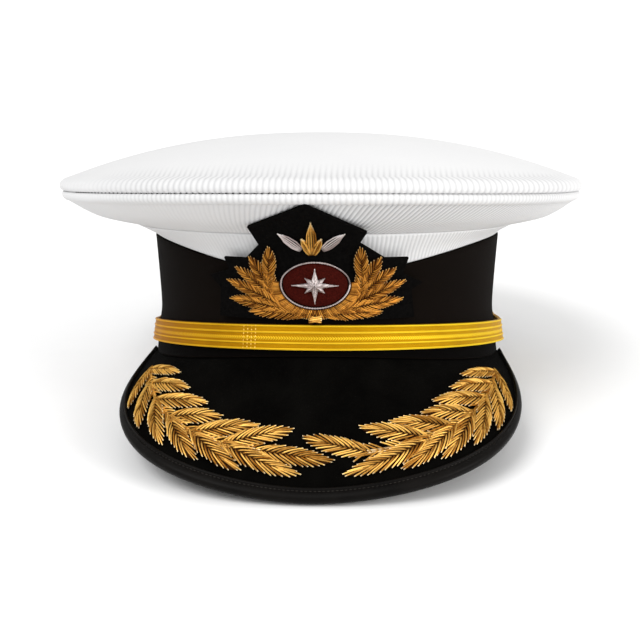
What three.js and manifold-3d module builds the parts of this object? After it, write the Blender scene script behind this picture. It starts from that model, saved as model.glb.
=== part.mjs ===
// Peaked cap: white cloth crown, black braid band, velvet peak with leaf sprays, gold chin strap
// and an embroidered badge. Millimetres, +Z up, the front of the cap faces -Y.
import * as THREE from 'three';
import { mergeVertices } from 'three/addons/utils/BufferGeometryUtils.js';
import Module from 'manifold-3d';

const wasm = await Module();
wasm.setup();

const deg = Math.PI / 180;
const gap = 0.3; // clearance between neighbouring pieces
const around = 60; // segments in a whole turn of the cap
const weld = 1e-4; // points closer than this are one
const clothWall = 1.5;
const bandWall = 2.4;

// Levels of the cap, lowest first: half width, reach to the front and to the back, heights at the
// sides, front and back, how late the front height sets in, and the sideways shift of the level.
const level = {
  bandFoot: { half: 82.6, front: 99.5, back: 98, side: 0, fore: 12, aft: 0, late: 2, shift: 0 },
  bandHem: { half: 81.3, front: 98.2, back: 96.8, side: 13.6, fore: 25.2, aft: 13.6, late: 2, shift: 0 },
  bandWaist: { half: 80.3, front: 97.0, back: 95.8, side: 25, fore: 33, aft: 25, late: 2, shift: 0 },
  bandHead: { half: 82.6, front: 98.3, back: 97, side: 57, fore: 46, aft: 56, late: 3.6, shift: 0 },
  stripFoot: { half: 81.8, front: 97.6, back: 96.3, side: 57.3, fore: 46.3, aft: 56.3, late: 3.6, shift: 0 },
  stripMid: { half: 85.2, front: 99.6, back: 98.6, side: 59.6, fore: 54, aft: 58.6, late: 3, shift: -0.6 },
  stripHead: { half: 91, front: 104.4, back: 102.4, side: 62.2, fore: 63.2, aft: 61, late: 2, shift: -1.2 },
  flareFoot: { half: 92, front: 105.2, back: 103.4, side: 62.6, fore: 63.6, aft: 61.4, late: 2, shift: -1.2 },
  flareBelly: { half: 107.8, front: 114.5, back: 115.5, side: 65.6, fore: 69.6, aft: 65, late: 2, shift: -2 },
  flareBrink: { half: 120.6, front: 124, back: 127.3, side: 72.6, fore: 77.6, aft: 71.5, late: 2, shift: -3 },
  lowRoll: { half: 123.6, front: 127.2, back: 130.4, side: 75, fore: 79, aft: 73, late: 2, shift: -3 },
  seamLow: { half: 123.3, front: 127, back: 130.2, side: 77.4, fore: 81, aft: 75.2, late: 2, shift: -3 },
  seamHigh: { half: 123.3, front: 127, back: 130.2, side: 77.7, fore: 81.3, aft: 75.5, late: 2, shift: -3 },
  highRoll: { half: 124.6, front: 128.2, back: 131.4, side: 80, fore: 83.4, aft: 77.8, late: 2, shift: -3 },
  brim: { half: 123, front: 126.4, back: 129.8, side: 82.6, fore: 85.6, aft: 80.4, late: 2, shift: -3 },
};
const dome = { height: 104.6, swell: 2.25, outside: [0.88, 0.7, 0.48, 0.24], inside: [0.82, 0.55, 0.26] };

// A point on a level, the angle counted from +X towards the back.
function onLevel(row, angle, inward = 0) {
  const s = Math.sin(angle);
  const reach = (s < 0 ? row.front : row.back) - inward;
  const rise = s < 0 ? (row.fore - row.side) * (-s) ** row.late : (row.aft - row.side) * s * s;
  return new THREE.Vector3((row.half - inward) * Math.cos(angle) + row.shift, reach * s, row.side + rise);
}

// Horizontal direction square to a level, outwards.
function outward(row, angle) {
  const s = Math.sin(angle);
  const reach = s < 0 ? row.front : row.back;
  return new THREE.Vector3(Math.cos(angle) / row.half, s / reach, 0).normalize();
}

function ringAngles() {
  return Array.from({ length: around }, (_, i) => (i * 2 * Math.PI) / around);
}

// ---- turning rows of points into closed bodies ----

function bodyFromPoints(points, triangles) {
  const geometry = new THREE.BufferGeometry();
  geometry.setAttribute('position', new THREE.Float32BufferAttribute(points.flatMap((p) => p.toArray()), 3));
  geometry.setIndex(triangles);
  return geometry;
}

// Closed rows of equal length joined into a skin. In a ring the last row joins the first one;
// otherwise a fan closes each end.
function skin(rows, { ring = false } = {}) {
  const n = rows[0].length;
  const points = rows.flat();
  const triangles = [];
  const rowPairs = ring ? rows.length : rows.length - 1;
  for (let r = 0; r < rowPairs; r++) {
    const a = r * n;
    const b = ((r + 1) % rows.length) * n;
    for (let c = 0; c < n; c++) {
      const d = (c + 1) % n;
      triangles.push(a + c, a + d, b + d, a + c, b + d, b + c);
    }
  }
  if (!ring) {
    const last = (rows.length - 1) * n;
    for (let c = 1; c < n - 1; c++) {
      triangles.push(0, c + 1, c, last, last + c, last + c + 1);
    }
  }
  return bodyFromPoints(points, triangles);
}

// Signed volume, used to turn a body's faces outwards.
function volume(geometry) {
  const p = geometry.getAttribute('position');
  const index = geometry.getIndex();
  const [a, b, c] = [new THREE.Vector3(), new THREE.Vector3(), new THREE.Vector3()];
  let sum = 0;
  for (let i = 0; i < index.count; i += 3) {
    a.fromBufferAttribute(p, index.getX(i));
    b.fromBufferAttribute(p, index.getX(i + 1));
    c.fromBufferAttribute(p, index.getX(i + 2));
    sum += a.dot(b.cross(c)) / 6;
  }
  return sum;
}

function facingOut(geometry) {
  if (volume(geometry) > 0) return geometry;
  const list = Array.from(geometry.getIndex().array);
  for (let i = 0; i < list.length; i += 3) [list[i + 1], list[i + 2]] = [list[i + 2], list[i + 1]];
  geometry.setIndex(list);
  return geometry;
}

function solidOf(geometry) {
  geometry.deleteAttribute('normal');
  geometry.deleteAttribute('uv');
  const merged = mergeVertices(geometry, weld);
  return new wasm.Manifold(new wasm.Mesh({
    numProp: 3,
    vertProperties: new Float32Array(merged.getAttribute('position').array),
    triVerts: new Uint32Array(merged.getIndex().array),
  }));
}

// Several overlapping bodies fused into one.
function fused(geometries) {
  const solids = geometries.map((geometry) => solidOf(facingOut(geometry)));
  const { vertProperties, triVerts, numProp } = solids.reduce((all, one) => all.add(one)).getMesh();
  const points = [];
  for (let i = 0; i < vertProperties.length; i += numProp) {
    points.push(new THREE.Vector3(vertProperties[i], vertProperties[i + 1], vertProperties[i + 2]));
  }
  return bodyFromPoints(points, Array.from(triVerts));
}

// ---- walls that run right round the cap ----

// Outer points of the named levels at one angle, and the same points moved in by the wall.
function wallSection(names, angle, wall) {
  const outer = names.map((name) => onLevel(level[name], angle));
  const side = outward(level[names[0]], angle);
  const inner = outer.map((point, i) => {
    const run = outer[Math.min(i + 1, outer.length - 1)].clone().sub(outer[Math.max(i - 1, 0)]);
    const across = run.dot(side);
    const normal = side.clone().multiplyScalar(run.z).add(new THREE.Vector3(0, 0, -across)).normalize();
    return point.clone().addScaledVector(normal, -wall);
  });
  return { outer, inner };
}

function roundWall(names, wall) {
  const sections = ringAngles().map((angle) => {
    const { outer, inner } = wallSection(names, angle, wall);
    return [...outer, ...inner.reverse()];
  });
  return facingOut(skin(sections, { ring: true }));
}

const bandLevels = ['bandFoot', 'bandHem', 'bandWaist', 'bandHead'];
const stripLevels = ['stripFoot', 'stripMid', 'stripHead'];
const flareLevels = ['flareFoot', 'flareBelly', 'flareBrink', 'lowRoll', 'seamLow'];

// The top panel: its rolled edge, then a dome up to the middle, and the same again inside.
function domePoint(angle, part, drop) {
  const edge = onLevel(level.brim, angle, drop);
  const middle = level.brim.shift;
  const swell = (1 - part ** dome.swell) * (dome.height - level.brim.side);
  const z = level.brim.side + (edge.z - level.brim.side) * part ** 2 + swell - drop;
  return new THREE.Vector3(middle + (edge.x - middle) * part, edge.y * part, z);
}

function topPanel() {
  const ring = (at) => ringAngles().map(at);
  const domeRings = (parts, drop) => parts.map((part) => ring((angle) => domePoint(angle, part, drop)));
  const rolled = ['seamHigh', 'highRoll', 'brim'].map((name) => ring((angle) => onLevel(level[name], angle)));
  const lining = ['highRoll', 'seamHigh'].map((name) => {
    return ring((angle) => onLevel(level[name], angle, clothWall));
  });
  const outside = [...rolled, ...domeRings(dome.outside, 0)];
  const inside = [...domeRings([...dome.inside].reverse(), clothWall), ...lining];
  const rings = [...outside, ...inside];
  const points = rings.flat();
  const triangles = [];
  const eachSide = (draw) => ringAngles().forEach((_, c) => draw(c, (c + 1) % around));
  const join = (r, s) => eachSide((c, d) => {
    const [a, b] = [r * around, s * around];
    triangles.push(a + c, a + d, b + d, a + c, b + d, b + c);
  });
  const top = outside.length - 1;
  for (let r = 0; r < rings.length; r++) {
    if (r !== top) join(r, (r + 1) % rings.length);
  }
  const crest = points.push(domePoint(0, 0, 0)) - 1;
  const hollow = points.push(domePoint(0, 0, clothWall)) - 1;
  eachSide((c, d) => triangles.push(top * around + c, top * around + d, crest));
  eachSide((c, d) => triangles.push(hollow, (top + 1) * around + d, (top + 1) * around + c));
  return facingOut(bodyFromPoints(points, triangles));
}

// ---- the peak ----

const peak = {
  spread: 86, // degrees of the band, each way from the front, that the peak is sewn to
  thick: 2.4,
  tuck: 2, // how far its sewn edge runs in under the band
  root: 1.2, // how far out of the band its top face starts
  stations: 36,
  // control points of the outer edge from the middle of the front round to one temple
  edge: [
    [0, -137.2, -39],
    [40.5, -137.2, -39],
    [100.5, -137, -19.2],
    [91, -68, -13],
    [84.4, -8, -1.6],
  ],
  shift: -0.9, // the peak's edge is a little off to one side
};
const binding = {
  reach: 6,
  wall: 0.9,
  bead: 1.1, // height of its inner edge over the peak
  nose: 1.6, // where its rounded nose starts
  crest: 0.3,
  mostOf: 0.72, // it covers no more than this share of a narrow end of the peak
};

function peakEdge(part) {
  const t = Math.abs(part);
  const u = 1 - t;
  const weights = [u ** 4, 4 * u ** 3 * t, 6 * u ** 2 * t ** 2, 4 * u * t ** 3, t ** 4];
  const sum = new THREE.Vector3();
  peak.edge.forEach((p, i) => sum.addScaledVector(new THREE.Vector3(...p), weights[i]));
  if (part < 0) sum.setX(-sum.x);
  return sum.setX(sum.x + peak.shift * u);
}

function peakRoot(part) {
  const angle = (-90 + part * peak.spread) * deg;
  return onLevel(level.bandFoot, angle).add(new THREE.Vector3(0, 0, -gap));
}

// A point of the peak's top face: part runs from -1 to 1 across, down from 0 at the band to 1 at
// the edge, and lift stands off square to the face.
function onPeak(part, down, lift = 0) {
  const at = (p, d) => peakRoot(p).lerp(peakEdge(p), d);
  const step = 0.01;
  const p = THREE.MathUtils.clamp(part, -1 + step, 1 - step);
  const along = at(p + step, down).sub(at(p - step, down));
  const slope = at(p, 1).sub(at(p, 0));
  const normal = along.cross(slope).normalize().negate();
  if (normal.z < 0) normal.negate();
  return at(part, down).addScaledVector(normal, lift);
}

function peakLength(part) {
  return peakRoot(part).distanceTo(peakEdge(part));
}

function peakStations(count) {
  return Array.from({ length: count + 1 }, (_, i) => -1 + (2 * i) / count);
}

function peakPlate() {
  const rows = peakStations(peak.stations).map((part) => {
    const length = peakLength(part);
    const end = 1 - (binding.wall + gap) / length;
    const start = Math.min(peak.root / length, 0.3);
    const downs = [0, 1 / 3, 2 / 3, 1].map((share) => THREE.MathUtils.lerp(start, end, share));
    const top = downs.map((down) => onPeak(part, down));
    const under = downs.map((down) => onPeak(part, down, -peak.thick)).reverse();
    const angle = (-90 + part * peak.spread) * deg;
    const sewn = onLevel(level.bandFoot, angle, peak.tuck).add(new THREE.Vector3(0, 0, -gap));
    const sewnUnder = sewn.clone().add(new THREE.Vector3(0, 0, -peak.thick));
    return [sewn, ...top, ...under, sewnUnder];
  });
  return facingOut(skin(rows));
}

// Folded leather round the edge: two legs joined by a rounded nose.
function peakBinding() {
  const { wall, bead, nose, crest } = binding;
  const under = -peak.thick;
  const rows = peakStations(peak.stations).map((part) => {
    const length = peakLength(part);
    const leg = Math.min(binding.reach, binding.mostOf * length);
    const clear = wall + gap * 0.4;
    const section = [
      [leg, gap + bead],
      [nose, gap + wall],
      [crest, crest],
      [0, under / 2],
      [crest, under - crest],
      [nose, under - gap - wall],
      [leg, under - gap - wall],
      [leg, under - gap],
      [clear, under - gap],
      [clear, gap],
      [leg, gap],
    ];
    return section.map(([back, lift]) => onPeak(part, 1 - back / length, lift));
  });
  return facingOut(skin(rows));
}

// ---- leaves and stems ----

const seat = 0.45; // leaves stand this far off the cloth, clear of its facets

// A padded strip on a surface given by place(u, v, lift). It follows line(t), and each section row
// gives the place along the line and the strip's half width and height there.
function paddedStrip(place, line, sections) {
  const step = 0.01;
  const rows = sections.map(({ at, half, high }) => {
    const [u, v] = line(at);
    const [ua, va] = line(Math.max(0, at - step));
    const [ub, vb] = line(Math.min(1, at + step));
    const run = Math.hypot(ub - ua, vb - va);
    const point = (off, lift) => place(u - ((vb - va) / run) * off, v + ((ub - ua) / run) * off, lift);
    return [point(-half, seat), point(-half * 0.5, high), point(half * 0.5, high), point(half, seat)];
  });
  return facingOut(skin(rows));
}

const leafSections = [
  { at: 0, wide: 0.2, high: 0.6 },
  { at: 0.35, wide: 0.95, high: 1 },
  { at: 0.72, wide: 0.86, high: 0.9 },
  { at: 1, wide: 0.12, high: 0.4 },
];

// One padded leaf from root to tip, bent a little to one side.
function leaf(place, { root, tip, width, height, bend = 0 }) {
  const axis = [tip[0] - root[0], tip[1] - root[1]];
  const length = Math.hypot(...axis);
  const line = (t) => {
    const curve = (bend * Math.sin(t * Math.PI)) / length;
    return [root[0] + axis[0] * t - axis[1] * curve, root[1] + axis[1] * t + axis[0] * curve];
  };
  const sections = leafSections.map(({ at, wide, high }) => {
    return { at, half: (wide * width) / 2, high: gap + high * (height - gap) };
  });
  return paddedStrip(place, line, sections);
}

function stem(place, line, { width, height, steps }) {
  const section = { half: width / 2, high: height };
  const sections = Array.from({ length: steps + 1 }, (_, i) => ({ ...section, at: i / steps }));
  return paddedStrip(place, line, sections);
}

// The sprays lie on the peak by part of its width and part of the way down it. The stem and the two
// lines of tips are curves of the part: leaf tips fan out towards the band and towards the edge.
const spray = {
  pairs: 6,
  root: { first: 0.7, step: 0.094 },
  inner: { first: 0.505, step: 0.088 },
  outer: { first: 0.62, step: 0.11, down: 0.85 },
  width: 8.4,
  height: 1.8,
  stem: { width: 2.2, height: 1.3, steps: 9 },
  halfArc: 150, // millimetres across one half of the peak, along its middle line
};

function stemDown(part) {
  return 0.69 - 1.5 * Math.max(0, part - 0.2) ** 2;
}

function innerTipDown(part) {
  return 0.53 - 0.33 * (part / 0.5) ** 2.5;
}

function peakSpray(sign, { tipPart, tipDown }) {
  const flat = (part, down) => [part * spray.halfArc, down * peakLength(part)];
  const place = (u, v, lift) => {
    const part = u / spray.halfArc;
    return onPeak(sign * part, v / peakLength(part), lift);
  };
  const onStem = (part) => flat(part, stemDown(part));
  const { pairs, root, inner, outer, width, height } = spray;
  const size = { width, height };
  const leaves = [];
  for (let i = 0; i < pairs; i++) {
    const from = onStem(root.first - root.step * i);
    const innerPart = inner.first - inner.step * i;
    const outerPart = outer.first - outer.step * i;
    const slim = i === 0 ? 0.8 : 1;
    const shape = { ...size, width: width * slim, root: from };
    leaves.push(leaf(place, { ...shape, tip: flat(innerPart, innerTipDown(innerPart)), bend: 0.8 }));
    leaves.push(leaf(place, { ...shape, tip: flat(outerPart, outer.down), bend: -0.8 }));
  }
  const last = root.first - root.step * pairs;
  leaves.push(leaf(place, { ...size, root: onStem(last), tip: flat(tipPart, tipDown) }));
  leaves.push(stem(place, (t) => onStem(THREE.MathUtils.lerp(root.first, last - 0.02, t)), spray.stem));
  return fused(leaves);
}

// ---- chin strap ----

const strap = {
  low: { half: 83, front: 99.9, back: 98.4, side: 4, fore: 14.7, aft: 4, late: 1, shift: 0 },
  high: { half: 81.7, front: 98.6, back: 97.2, side: 14, fore: 25.4, aft: 14, late: 1, shift: 0 },
  behind: 21, // degrees that each end runs past the side of the cap
  stations: 42,
  thick: 1.3,
  ribs: 5,
  rib: 0.35,
  loose: 1.6, // how far the strap stands off the band at the wearer's left temple
};

function strapLoose(angle) {
  return strap.loose * Math.exp(-((angle / (14 * deg)) ** 2));
}

function strapRow(angle) {
  const low = onLevel(strap.low, angle);
  const high = onLevel(strap.high, angle);
  const out = outward(strap.low, angle);
  const point = (t, off) => low.clone().lerp(high, t).addScaledVector(out, off + strapLoose(angle));
  const face = [];
  for (let i = 0; i <= 2 * strap.ribs; i++) {
    face.push(point(i / (2 * strap.ribs), strap.thick + (i % 2 ? strap.rib : 0)));
  }
  return [point(0, 0), ...face, point(1, 0)];
}

function chinStrap() {
  const from = -180 - strap.behind;
  const to = strap.behind;
  const rows = Array.from({ length: strap.stations + 1 }, (_, i) => {
    return strapRow((from + ((to - from) * i) / strap.stations) * deg);
  });
  return facingOut(skin(rows));
}

const button = { radius: 6, height: 3.4, rim: 1, back: 5 }; // back: degrees in from the strap's end

function strapButton(side) {
  const { radius, height, rim } = button;
  const shoulder = [[0.8, 0.7], [0.4, 0.95]].map(([out, up]) => [radius * out, height * up]);
  const profile = [[0, 0], [radius, 0], [radius, rim], ...shoulder, [0, height]];
  const geometry = new THREE.LatheGeometry(profile.map(([x, y]) => new THREE.Vector2(x, y)), 14);
  const angle = side > 0 ? (strap.behind - button.back) * deg : Math.PI - (strap.behind - button.back) * deg;
  const low = onLevel(strap.low, angle);
  const high = onLevel(strap.high, angle);
  const out = outward(strap.low, angle);
  const face = new THREE.Vector3().crossVectors(high.clone().sub(low), new THREE.Vector3(0, 0, 1).cross(out));
  face.normalize();
  if (face.dot(out) < 0) face.negate();
  const lift = strap.thick + strap.rib + gap;
  const middle = low.lerp(high, 0.5).addScaledVector(out, strapLoose(angle)).addScaledVector(face, lift);
  geometry.deleteAttribute('normal');
  geometry.deleteAttribute('uv');
  geometry.applyQuaternion(new THREE.Quaternion().setFromUnitVectors(new THREE.Vector3(0, 1, 0), face));
  geometry.translate(middle.x, middle.y, middle.z);
  return facingOut(mergeVertices(geometry, weld));
}

// ---- badge ----

// The stiff cloth patch leans from the band out to the brim: reach to the front and half width of
// its round by height.
const patchLean = [
  { z: 24, reach: 98.9, half: 82.2 },
  { z: 40, reach: 98.9, half: 83 },
  { z: 47, reach: 99.9, half: 84 },
  { z: 56, reach: 104.3, half: 88 },
  { z: 65, reach: 111.4, half: 98 },
  { z: 72, reach: 118.8, half: 107 },
  { z: 80, reach: 127.3, half: 118 },
];
const patch = { thick: 1.2, cuts: [-50, -30, -15, 0, 15, 30, 50] };
// Zigzag outline of the patch, right side then left, from the bottom corner to the top point.
const patchOutline = [
  [39.5, 27.2], [38.3, 39], [43, 42], [34.8, 46.4], [37, 53.4], [27.4, 53.6], [17.2, 60.6], [20.2, 65.4],
  [-3.8, 77.2],
  [-27.8, 67.4], [-23.6, 59.6], [-29.8, 53.2], [-39, 53.2], [-37, 47.6], [-46, 44.6], [-41, 39.4],
  [-41.5, 27.2],
];

function onPatch(x, z, lift = 0) {
  const k = Math.max(0, patchLean.findIndex((row) => row.z >= z) - 1);
  const [low, high] = [patchLean[k], patchLean[k + 1]];
  const t = (z - low.z) / (high.z - low.z);
  const reach = THREE.MathUtils.lerp(low.reach, high.reach, t);
  const half = THREE.MathUtils.lerp(low.half, high.half, t);
  const lean = (high.reach - low.reach) / (high.z - low.z);
  const y = -reach * Math.sqrt(1 - (x / half) ** 2);
  const normal = new THREE.Vector3(x / half ** 2, y / reach ** 2, 0).normalize();
  normal.z = -lean;
  normal.normalize();
  return new THREE.Vector3(x, y, z).addScaledVector(normal, lift);
}

const onBadge = (x, z, lift) => onPatch(x, z, patch.thick + lift);

// The outline as a flat plate, cut into cells so that it can bend round the band. The faces between
// cells are left out, and the rest is carried onto the lean.
function badgePatch() {
  const shape = new THREE.Shape(patchOutline.map(([x, z]) => new THREE.Vector2(x, z)));
  const plate = solidOf(new THREE.ExtrudeGeometry(shape, { depth: 1, bevelEnabled: false }));
  const heights = patchLean.map(({ z }) => z);
  const points = [];
  const triangles = [];
  const seen = new Map();
  const pointAt = (x, z, top) => {
    const key = `${x.toFixed(3)} ${z.toFixed(3)} ${top}`;
    if (!seen.has(key)) seen.set(key, points.push(onPatch(x, z, top * patch.thick)) - 1);
    return seen.get(key);
  };
  const cellAt = (i, k) => {
    const [x0, x1, z0, z1] = [patch.cuts[i], patch.cuts[i + 1], heights[k], heights[k + 1]];
    const box = new THREE.BoxGeometry(x1 - x0, z1 - z0, 1);
    box.translate((x0 + x1) / 2, (z0 + z1) / 2, 0.5);
    return plate.intersect(solidOf(box)).getMesh();
  };
  for (let i = 0; i < patch.cuts.length - 1; i++) {
    for (let k = 0; k < heights.length - 1; k++) {
      const { vertProperties: v, triVerts: t, numProp } = cellAt(i, k);
      for (let j = 0; j < t.length; j += 3) {
        const corners = [0, 1, 2].map((c) => Array.from(v.slice(t[j + c] * numProp, t[j + c] * numProp + 3)));
        const liesOn = (axis) => (value) => corners.every((corner) => Math.abs(corner[axis] - value) < 1e-3);
        if (patch.cuts.slice(1, -1).some(liesOn(0)) || heights.slice(1, -1).some(liesOn(1))) continue;
        triangles.push(...corners.map(([x, z, top]) => pointAt(x, z, Math.round(top))));
      }
    }
  }
  return facingOut(bodyFromPoints(points, triangles));
}

const medallion = { x: -1, z: 42.6, half: 13.2, tall: 9.6, rise: 2.4, sides: 28 };
const cord = { thick: 1.3, sides: 6, middle: 1.1 }; // middle: height of its centre line over the patch

function badgeOval(scaleBy, lift) {
  const { x, z, half, tall, sides } = medallion;
  return Array.from({ length: sides }, (_, i) => {
    const a = (i * 2 * Math.PI) / sides;
    return onBadge(x + half * scaleBy * Math.cos(a), z + tall * scaleBy * Math.sin(a), lift);
  });
}

function badgeField() {
  const { rise } = medallion;
  const under = [0.3, 0.65, 1].map((scaleBy) => badgeOval(scaleBy, gap));
  const over = [badgeOval(1, rise * 0.5), badgeOval(0.8, rise * 0.8), badgeOval(0.4, rise)];
  const rows = [...under, ...over];
  return facingOut(skin(rows));
}

function badgeCord() {
  const { x, z, half, tall, sides } = medallion;
  const off = cord.thick / 2 + gap;
  const rows = Array.from({ length: sides }, (_, i) => {
    const a = (i * 2 * Math.PI) / sides;
    return Array.from({ length: cord.sides }, (__, k) => {
      const b = (k * 2 * Math.PI) / cord.sides;
      const r = off + (cord.thick / 2) * Math.cos(b);
      const lift = cord.middle + (cord.thick / 2) * Math.sin(b);
      return onBadge(x + (half + r) * Math.cos(a), z + (tall + r) * Math.sin(a), lift);
    });
  });
  return facingOut(skin(rows, { ring: true }));
}

// Eight-pointed compass star, long points on the cross, raised to a ridge in the middle.
const star = { long: 8, short: 4.6, notch: 2.2, thick: 1.2, edge: 0.4, core: 0.12, stretch: 1.12 };

function badgeStar() {
  const { x, z, rise } = medallion;
  const base = rise + gap;
  const rim = Array.from({ length: 16 }, (_, i) => {
    const a = (i * Math.PI) / 8;
    const r = i % 2 ? star.notch : i % 4 ? star.short : star.long;
    return [x + r * Math.cos(a) * star.stretch, z + r * Math.sin(a)];
  });
  const core = rim.map(([u, v]) => [x + (u - x) * star.core, z + (v - z) * star.core]);
  const rows = [
    core.map(([u, v]) => onBadge(u, v, base)),
    rim.map(([u, v]) => onBadge(u, v, base)),
    rim.map(([u, v]) => onBadge(u, v, base + star.edge)),
    core.map(([u, v]) => onBadge(u, v, base + star.thick)),
  ];
  return facingOut(skin(rows));
}

// Leaves of the badge's wreath on one side: root and tip across and up, from the knot to the top.
const wreathLeaves = [
  { rootX: 4.5, rootZ: 29.8, tipX: 27, tipZ: 30.5 },
  { rootX: 10, rootZ: 31.5, tipX: 35, tipZ: 35.5 },
  { rootX: 15, rootZ: 34, tipX: 36, tipZ: 43.5 },
  { rootX: 18, rootZ: 38, tipX: 32.5, tipZ: 49.5 },
  { rootX: 19.5, rootZ: 42, tipX: 26.5, tipZ: 54.5 },
  { rootX: 19, rootZ: 46, tipX: 18.5, tipZ: 59.5 },
  { rootX: 18.4, rootZ: 37.5, tipX: 19.6, tipZ: 51.5 },
];

// The wreath's stem rises round the oval from the knot.
const wreathStem = { foot: -72, head: 12, across: 18, up: 13.6, width: 2.2, height: 1.4, steps: 7 };

function wreathSpray(sign) {
  const { x, z } = medallion;
  const leaves = wreathLeaves.map((row, i) => leaf(onBadge, {
    root: [x + sign * row.rootX, row.rootZ],
    tip: [x + sign * row.tipX, row.tipZ],
    width: 5.6,
    height: 1.9 + 0.1 * (i % 2),
    bend: 0.4 * sign,
  }));
  const line = (t) => {
    const a = THREE.MathUtils.lerp(wreathStem.foot, wreathStem.head, t) * deg;
    return [x + sign * wreathStem.across * Math.cos(a), z + wreathStem.up * Math.sin(a)];
  };
  return fused([...leaves, stem(onBadge, line, wreathStem)]);
}

// A fan of rays over the medallion, gold in the middle and silver beside it.
const fan = { x: -2, z: 55.2, hub: 1.2, height: 1.6 };

function rays(list) {
  return fused(list.map(({ angle, from, to, wide }) => {
    const at = (reach) => [fan.x + Math.sin(angle * deg) * reach, fan.z + Math.cos(angle * deg) * reach];
    return leaf(onBadge, { root: at(from), tip: at(to), width: wide, height: fan.height });
  }));
}

const goldRays = [
  { angle: 0, from: fan.hub, to: 15.5, wide: 4.6 },
  { angle: 26, from: fan.hub, to: 9.5, wide: 3.4 },
  { angle: -26, from: fan.hub, to: 9.5, wide: 3.4 },
];
const silverRay = { angle: 52, from: 5.4, to: 17, wide: 4 };

// Two crossing loops over the foot of the wreath.
const knot = { half: 2.5, low: 27.4, high: 28.4, width: 2.6, height: 2.4 };

function badgeKnot() {
  const { x } = medallion;
  return fused([-1, 1].map((sign) => leaf(onBadge, {
    root: [x - sign * knot.half, knot.low],
    tip: [x + sign * knot.half, knot.high],
    width: knot.width,
    height: knot.height,
  })));
}

// ---- the cap ----

const finish = {
  whiteCloth: { color: 0xf1f1ef, roughness: 0.85, metalness: 0 },
  blackBraid: { color: 0x14110f, roughness: 0.8, metalness: 0 },
  velvet: { color: 0x070706, roughness: 0.95, metalness: 0 },
  leather: { color: 0x1d1a19, roughness: 0.45, metalness: 0 },
  goldBraid: { color: 0xd9a326, roughness: 0.45, metalness: 0.6 },
  bullion: { color: 0xc8963c, roughness: 0.4, metalness: 0.7 },
  gilt: { color: 0xd6a53a, roughness: 0.3, metalness: 0.9 },
  silver: { color: 0xc9bfbb, roughness: 0.4, metalness: 0.7 },
  maroon: { color: 0x3f0a05, roughness: 0.7, metalness: 0 },
  blackCloth: { color: 0x0b0a0a, roughness: 0.9, metalness: 0 },
};

const cap = new THREE.Group();

function add(name, geometry, look) {
  const mesh = new THREE.Mesh(geometry, new THREE.MeshStandardMaterial(finish[look]));
  mesh.name = name;
  cap.add(mesh);
}

add('crown_top', topPanel(), 'whiteCloth');
add('crown_flare', roundWall(flareLevels, clothWall), 'whiteCloth');
add('crown_strip', roundWall(stripLevels, clothWall), 'whiteCloth');
add('band', roundWall(bandLevels, bandWall), 'blackBraid');
add('peak', peakPlate(), 'velvet');
add('peak_binding', peakBinding(), 'leather');
add('peak_spray_left', peakSpray(-1, { tipPart: -0.05, tipDown: 0.73 }), 'bullion');
add('peak_spray_right', peakSpray(1, { tipPart: -0.03, tipDown: 0.57 }), 'bullion');
add('chin_strap', chinStrap(), 'goldBraid');
add('strap_button_left', strapButton(-1), 'gilt');
add('strap_button_right', strapButton(1), 'gilt');
add('badge_patch', badgePatch(), 'blackCloth');
add('badge_field', badgeField(), 'maroon');
add('badge_cord', badgeCord(), 'silver');
add('badge_star', badgeStar(), 'silver');
add('badge_wreath_left', wreathSpray(-1), 'bullion');
add('badge_wreath_right', wreathSpray(1), 'bullion');
add('badge_rays_gold', rays(goldRays), 'bullion');
add('badge_ray_left', rays([{ ...silverRay, angle: -silverRay.angle }]), 'silver');
add('badge_ray_right', rays([silverRay]), 'silver');
add('badge_knot', badgeKnot(), 'bullion');

// The cap lies on the edge of its peak and the back of its band.
const restTilt = 10;
cap.rotation.x = -restTilt * deg;
cap.updateMatrixWorld(true);
const box = new THREE.Box3().setFromObject(cap, true);
cap.position.set(-(box.min.x + box.max.x) / 2, -(box.min.y + box.max.y) / 2, -box.min.z);

export default cap;
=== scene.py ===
import math

import bmesh
import bpy
import numpy as np
from mathutils import Matrix, Vector
from mathutils.geometry import delaunay_2d_cdt


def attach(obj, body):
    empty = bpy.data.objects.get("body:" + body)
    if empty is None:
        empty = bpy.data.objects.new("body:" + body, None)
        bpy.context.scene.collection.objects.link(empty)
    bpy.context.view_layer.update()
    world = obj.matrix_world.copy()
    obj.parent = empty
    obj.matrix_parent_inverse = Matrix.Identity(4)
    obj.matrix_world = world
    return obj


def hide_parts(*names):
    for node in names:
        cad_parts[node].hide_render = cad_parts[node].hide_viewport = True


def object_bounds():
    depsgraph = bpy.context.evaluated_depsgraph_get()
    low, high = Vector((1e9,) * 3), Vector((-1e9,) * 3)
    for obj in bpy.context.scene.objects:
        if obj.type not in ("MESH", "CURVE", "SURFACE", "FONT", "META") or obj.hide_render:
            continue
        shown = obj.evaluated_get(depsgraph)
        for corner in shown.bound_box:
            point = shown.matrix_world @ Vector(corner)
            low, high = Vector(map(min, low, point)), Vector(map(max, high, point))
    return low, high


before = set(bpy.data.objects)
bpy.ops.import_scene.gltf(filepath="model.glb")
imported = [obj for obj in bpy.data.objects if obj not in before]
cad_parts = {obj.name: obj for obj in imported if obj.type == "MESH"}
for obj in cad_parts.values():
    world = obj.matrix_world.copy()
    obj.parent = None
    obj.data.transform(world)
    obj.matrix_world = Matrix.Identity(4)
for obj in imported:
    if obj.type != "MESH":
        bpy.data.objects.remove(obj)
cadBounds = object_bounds()

mm = 0.001
deg = math.pi / 180

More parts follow.
